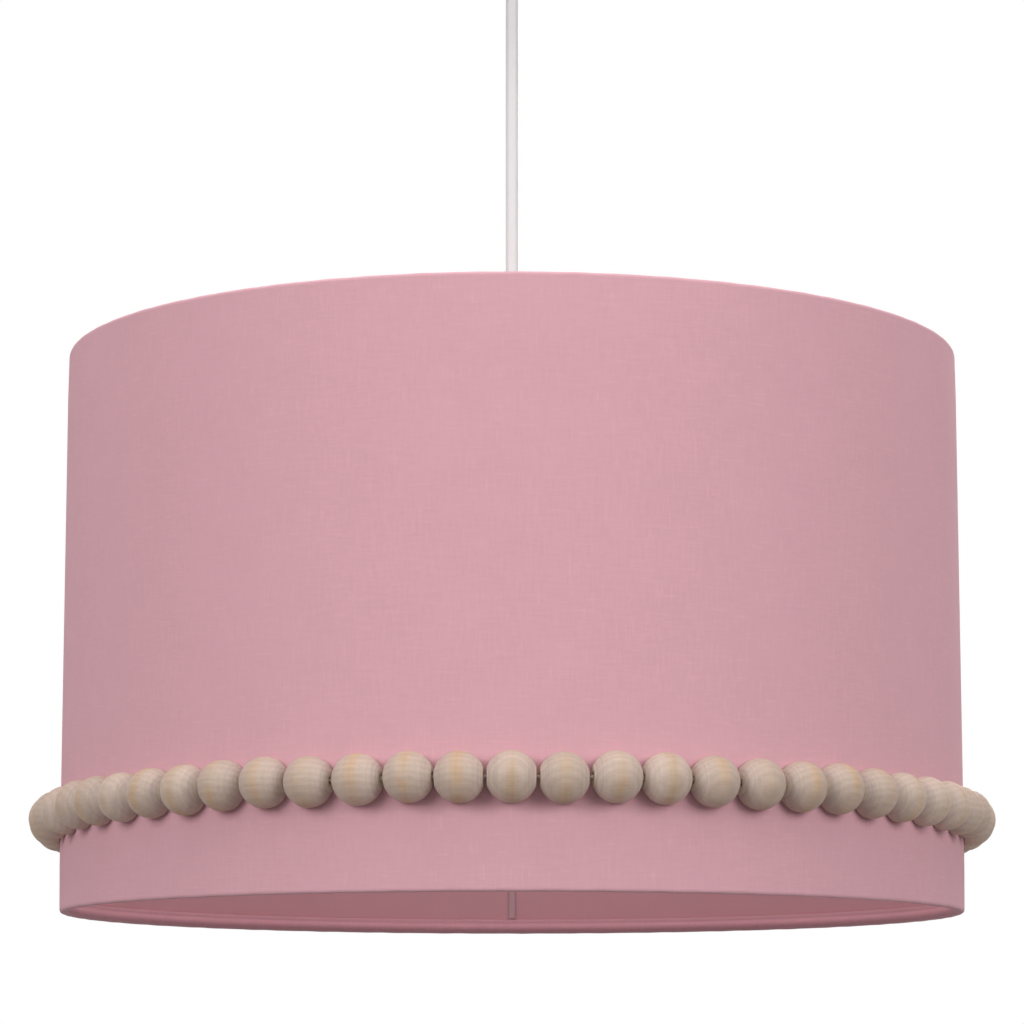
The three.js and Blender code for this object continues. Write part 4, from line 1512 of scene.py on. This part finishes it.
turned_wood = blended(in_band * in_patch, side_wood, band_wood)
turning_lines = noise(vector(along_hole * line_scale, chances[2]), 1.0, detail=4, roughness=0.75)
line_light = (turning_lines - 0.5) * spread(off_middle, *line_range) + 1.0

# The grain runs along the hole: fine fibres, and broad layers of the tree's rings.
stretched = {0: wood_place, 1: fibre_scales}
fibre_place = fed(wood_tree, "ShaderNodeVectorMath", stretched, operation="MULTIPLY")[0]
fibre_light = (noise(fibre_place, 1.0, detail=3, roughness=0.6) - 0.5) * fibre_share + 1.0
ring_values["Vector"] = wood_place
rings = fed(wood_tree, "ShaderNodeTexWave", ring_values, wave_type="RINGS", rings_direction="X")
ring_light = (rings["Fac"] - 0.5) * ring_share + 1.0
times(turned_wood, line_light * fibre_light * ring_light).into(wood_shader["Base Color"])
bumped(turning_lines, line_bump, wood_shader)

# One bead, turned round its hole and laid along X with its flat back towards +Y.
bead_end = math.sqrt(bead_radius**2 - bead_end_radius**2)
end_turn = math.asin(bead_end_radius / bead_radius)
hole_line = [(bead_bore, -bead_end + bead_countersink), (bead_bore + bead_countersink, -bead_end)]
ball_turns = [end_turn + (math.pi - 2 * end_turn) * step / bead_steps for step in range(bead_steps + 1)]
ball_line = [(bead_radius * math.sin(turn), -bead_radius * math.cos(turn)) for turn in ball_turns]
far_hole_line = [(radius, -level) for radius, level in reversed(hole_line)]
bead = turned(hole_line + ball_line + far_hole_line, bead_sides)
bmesh.ops.rotate(bead, cent=(0, 0, 0), matrix=Matrix.Rotation(math.pi / 2, 3, "Y"), verts=bead.verts)
everything = [*bead.verts, *bead.edges, *bead.faces]
bmesh.ops.bisect_plane(
    bead, geom=everything, plane_co=(0, bead_back, 0), plane_no=(0, 1, 0), clear_outer=True
)
bmesh.ops.holes_fill(bead, edges=[edge for edge in bead.edges if edge.is_boundary])
own_places = bead.verts.layers.float_vector.new("own_place")
for corner in bead.verts:
    corner[own_places] = corner.co
wooden_beads = grown(
    "wooden_beads", copies, mesh_of("bead", bead, raw_wood), Count=bead_count, Radius=bead_circle,
    Lean=bead_lean, Slip=bead_slip, Growth=bead_growth, Seed=bead_seed, Material=raw_wood,
)
row_place = Matrix.Translation((0, 0, row_level)) @ Matrix.Rotation(row_tilt, 4, "X")
wooden_beads.transform(row_place)
bead_nodes = [f"bead_run_{number:02d}" for number in range(1, bead_count // 2 + 1)]
piece_of(wooden_beads, "shade", "wood", *bead_nodes)

# Thread. Undyed two-ply cotton twine through all the beads, with its ends glued into one of them. It
# shows as a pale dot between each two beads.
ply_offset = 0.36 * MM
ply_radius = 0.46 * MM
ply_corners = 5
ply_groove = 0.35
twine_pitch = 4.13 * MM
steps_per_twist = 8

pale_twine = skin_material(
    "pale_twine", (226, 216, 206), roughness=0.85, cloud=(0.12, 1.2), grain=(0.15, 0.05)
)
twine, twine_in, twine_out = geometry_tree("twisted_ring", Float=["Radius", "Twists"], Int=["Steps"])
circle_values = {"Resolution": twine_in["Steps"], "Radius": twine_in["Radius"]}
twine_circle = fed(twine, "GeometryNodeCurvePrimitiveCircle", circle_values)[0]
twist_step = twine_in["Twists"] * FULL_TURN / twine_in["Steps"]
twist = fed(twine, "GeometryNodeInputIndex")[0] * twist_step
tilted = fed(twine, "GeometryNodeSetCurveTilt", {"Curve": twine_circle, "Tilt": twist})[0]
section_curve = fed(twine, "GeometryNodeMeshToCurve", {"Mesh": twine_in["Geometry"]})[0]
twisted = fed(twine, "GeometryNodeCurveToMesh", {"Curve": tilted, "Profile Curve": section_curve})[0]
finished(twisted, twine_in, twine_out)

twine_section = []
for side in (-1, 1):
    start = ply_groove - side * math.pi / 2
    centre = (side * ply_offset, 0)
    twine_section += circle_points(ply_radius, ply_corners, centre, start, math.pi - 2 * ply_groove)
section_mesh = bpy.data.meshes.new("twine_section")
section_edges = [(i, (i + 1) % len(twine_section)) for i in range(len(twine_section))]
section_mesh.from_pydata([(x, y, 0) for x, y in twine_section], section_edges, [])
twist_count = round(FULL_TURN * bead_circle / twine_pitch / 2) * 2
bead_twine = grown(
    "bead_twine", twine, section_mesh, Radius=bead_circle, Steps=twist_count * steps_per_twist,
    Twists=float(twist_count), Material=pale_twine,
)
bead_twine.transform(row_place)
bead_twine.shade_smooth()
piece_of(bead_twine, "shade", None)
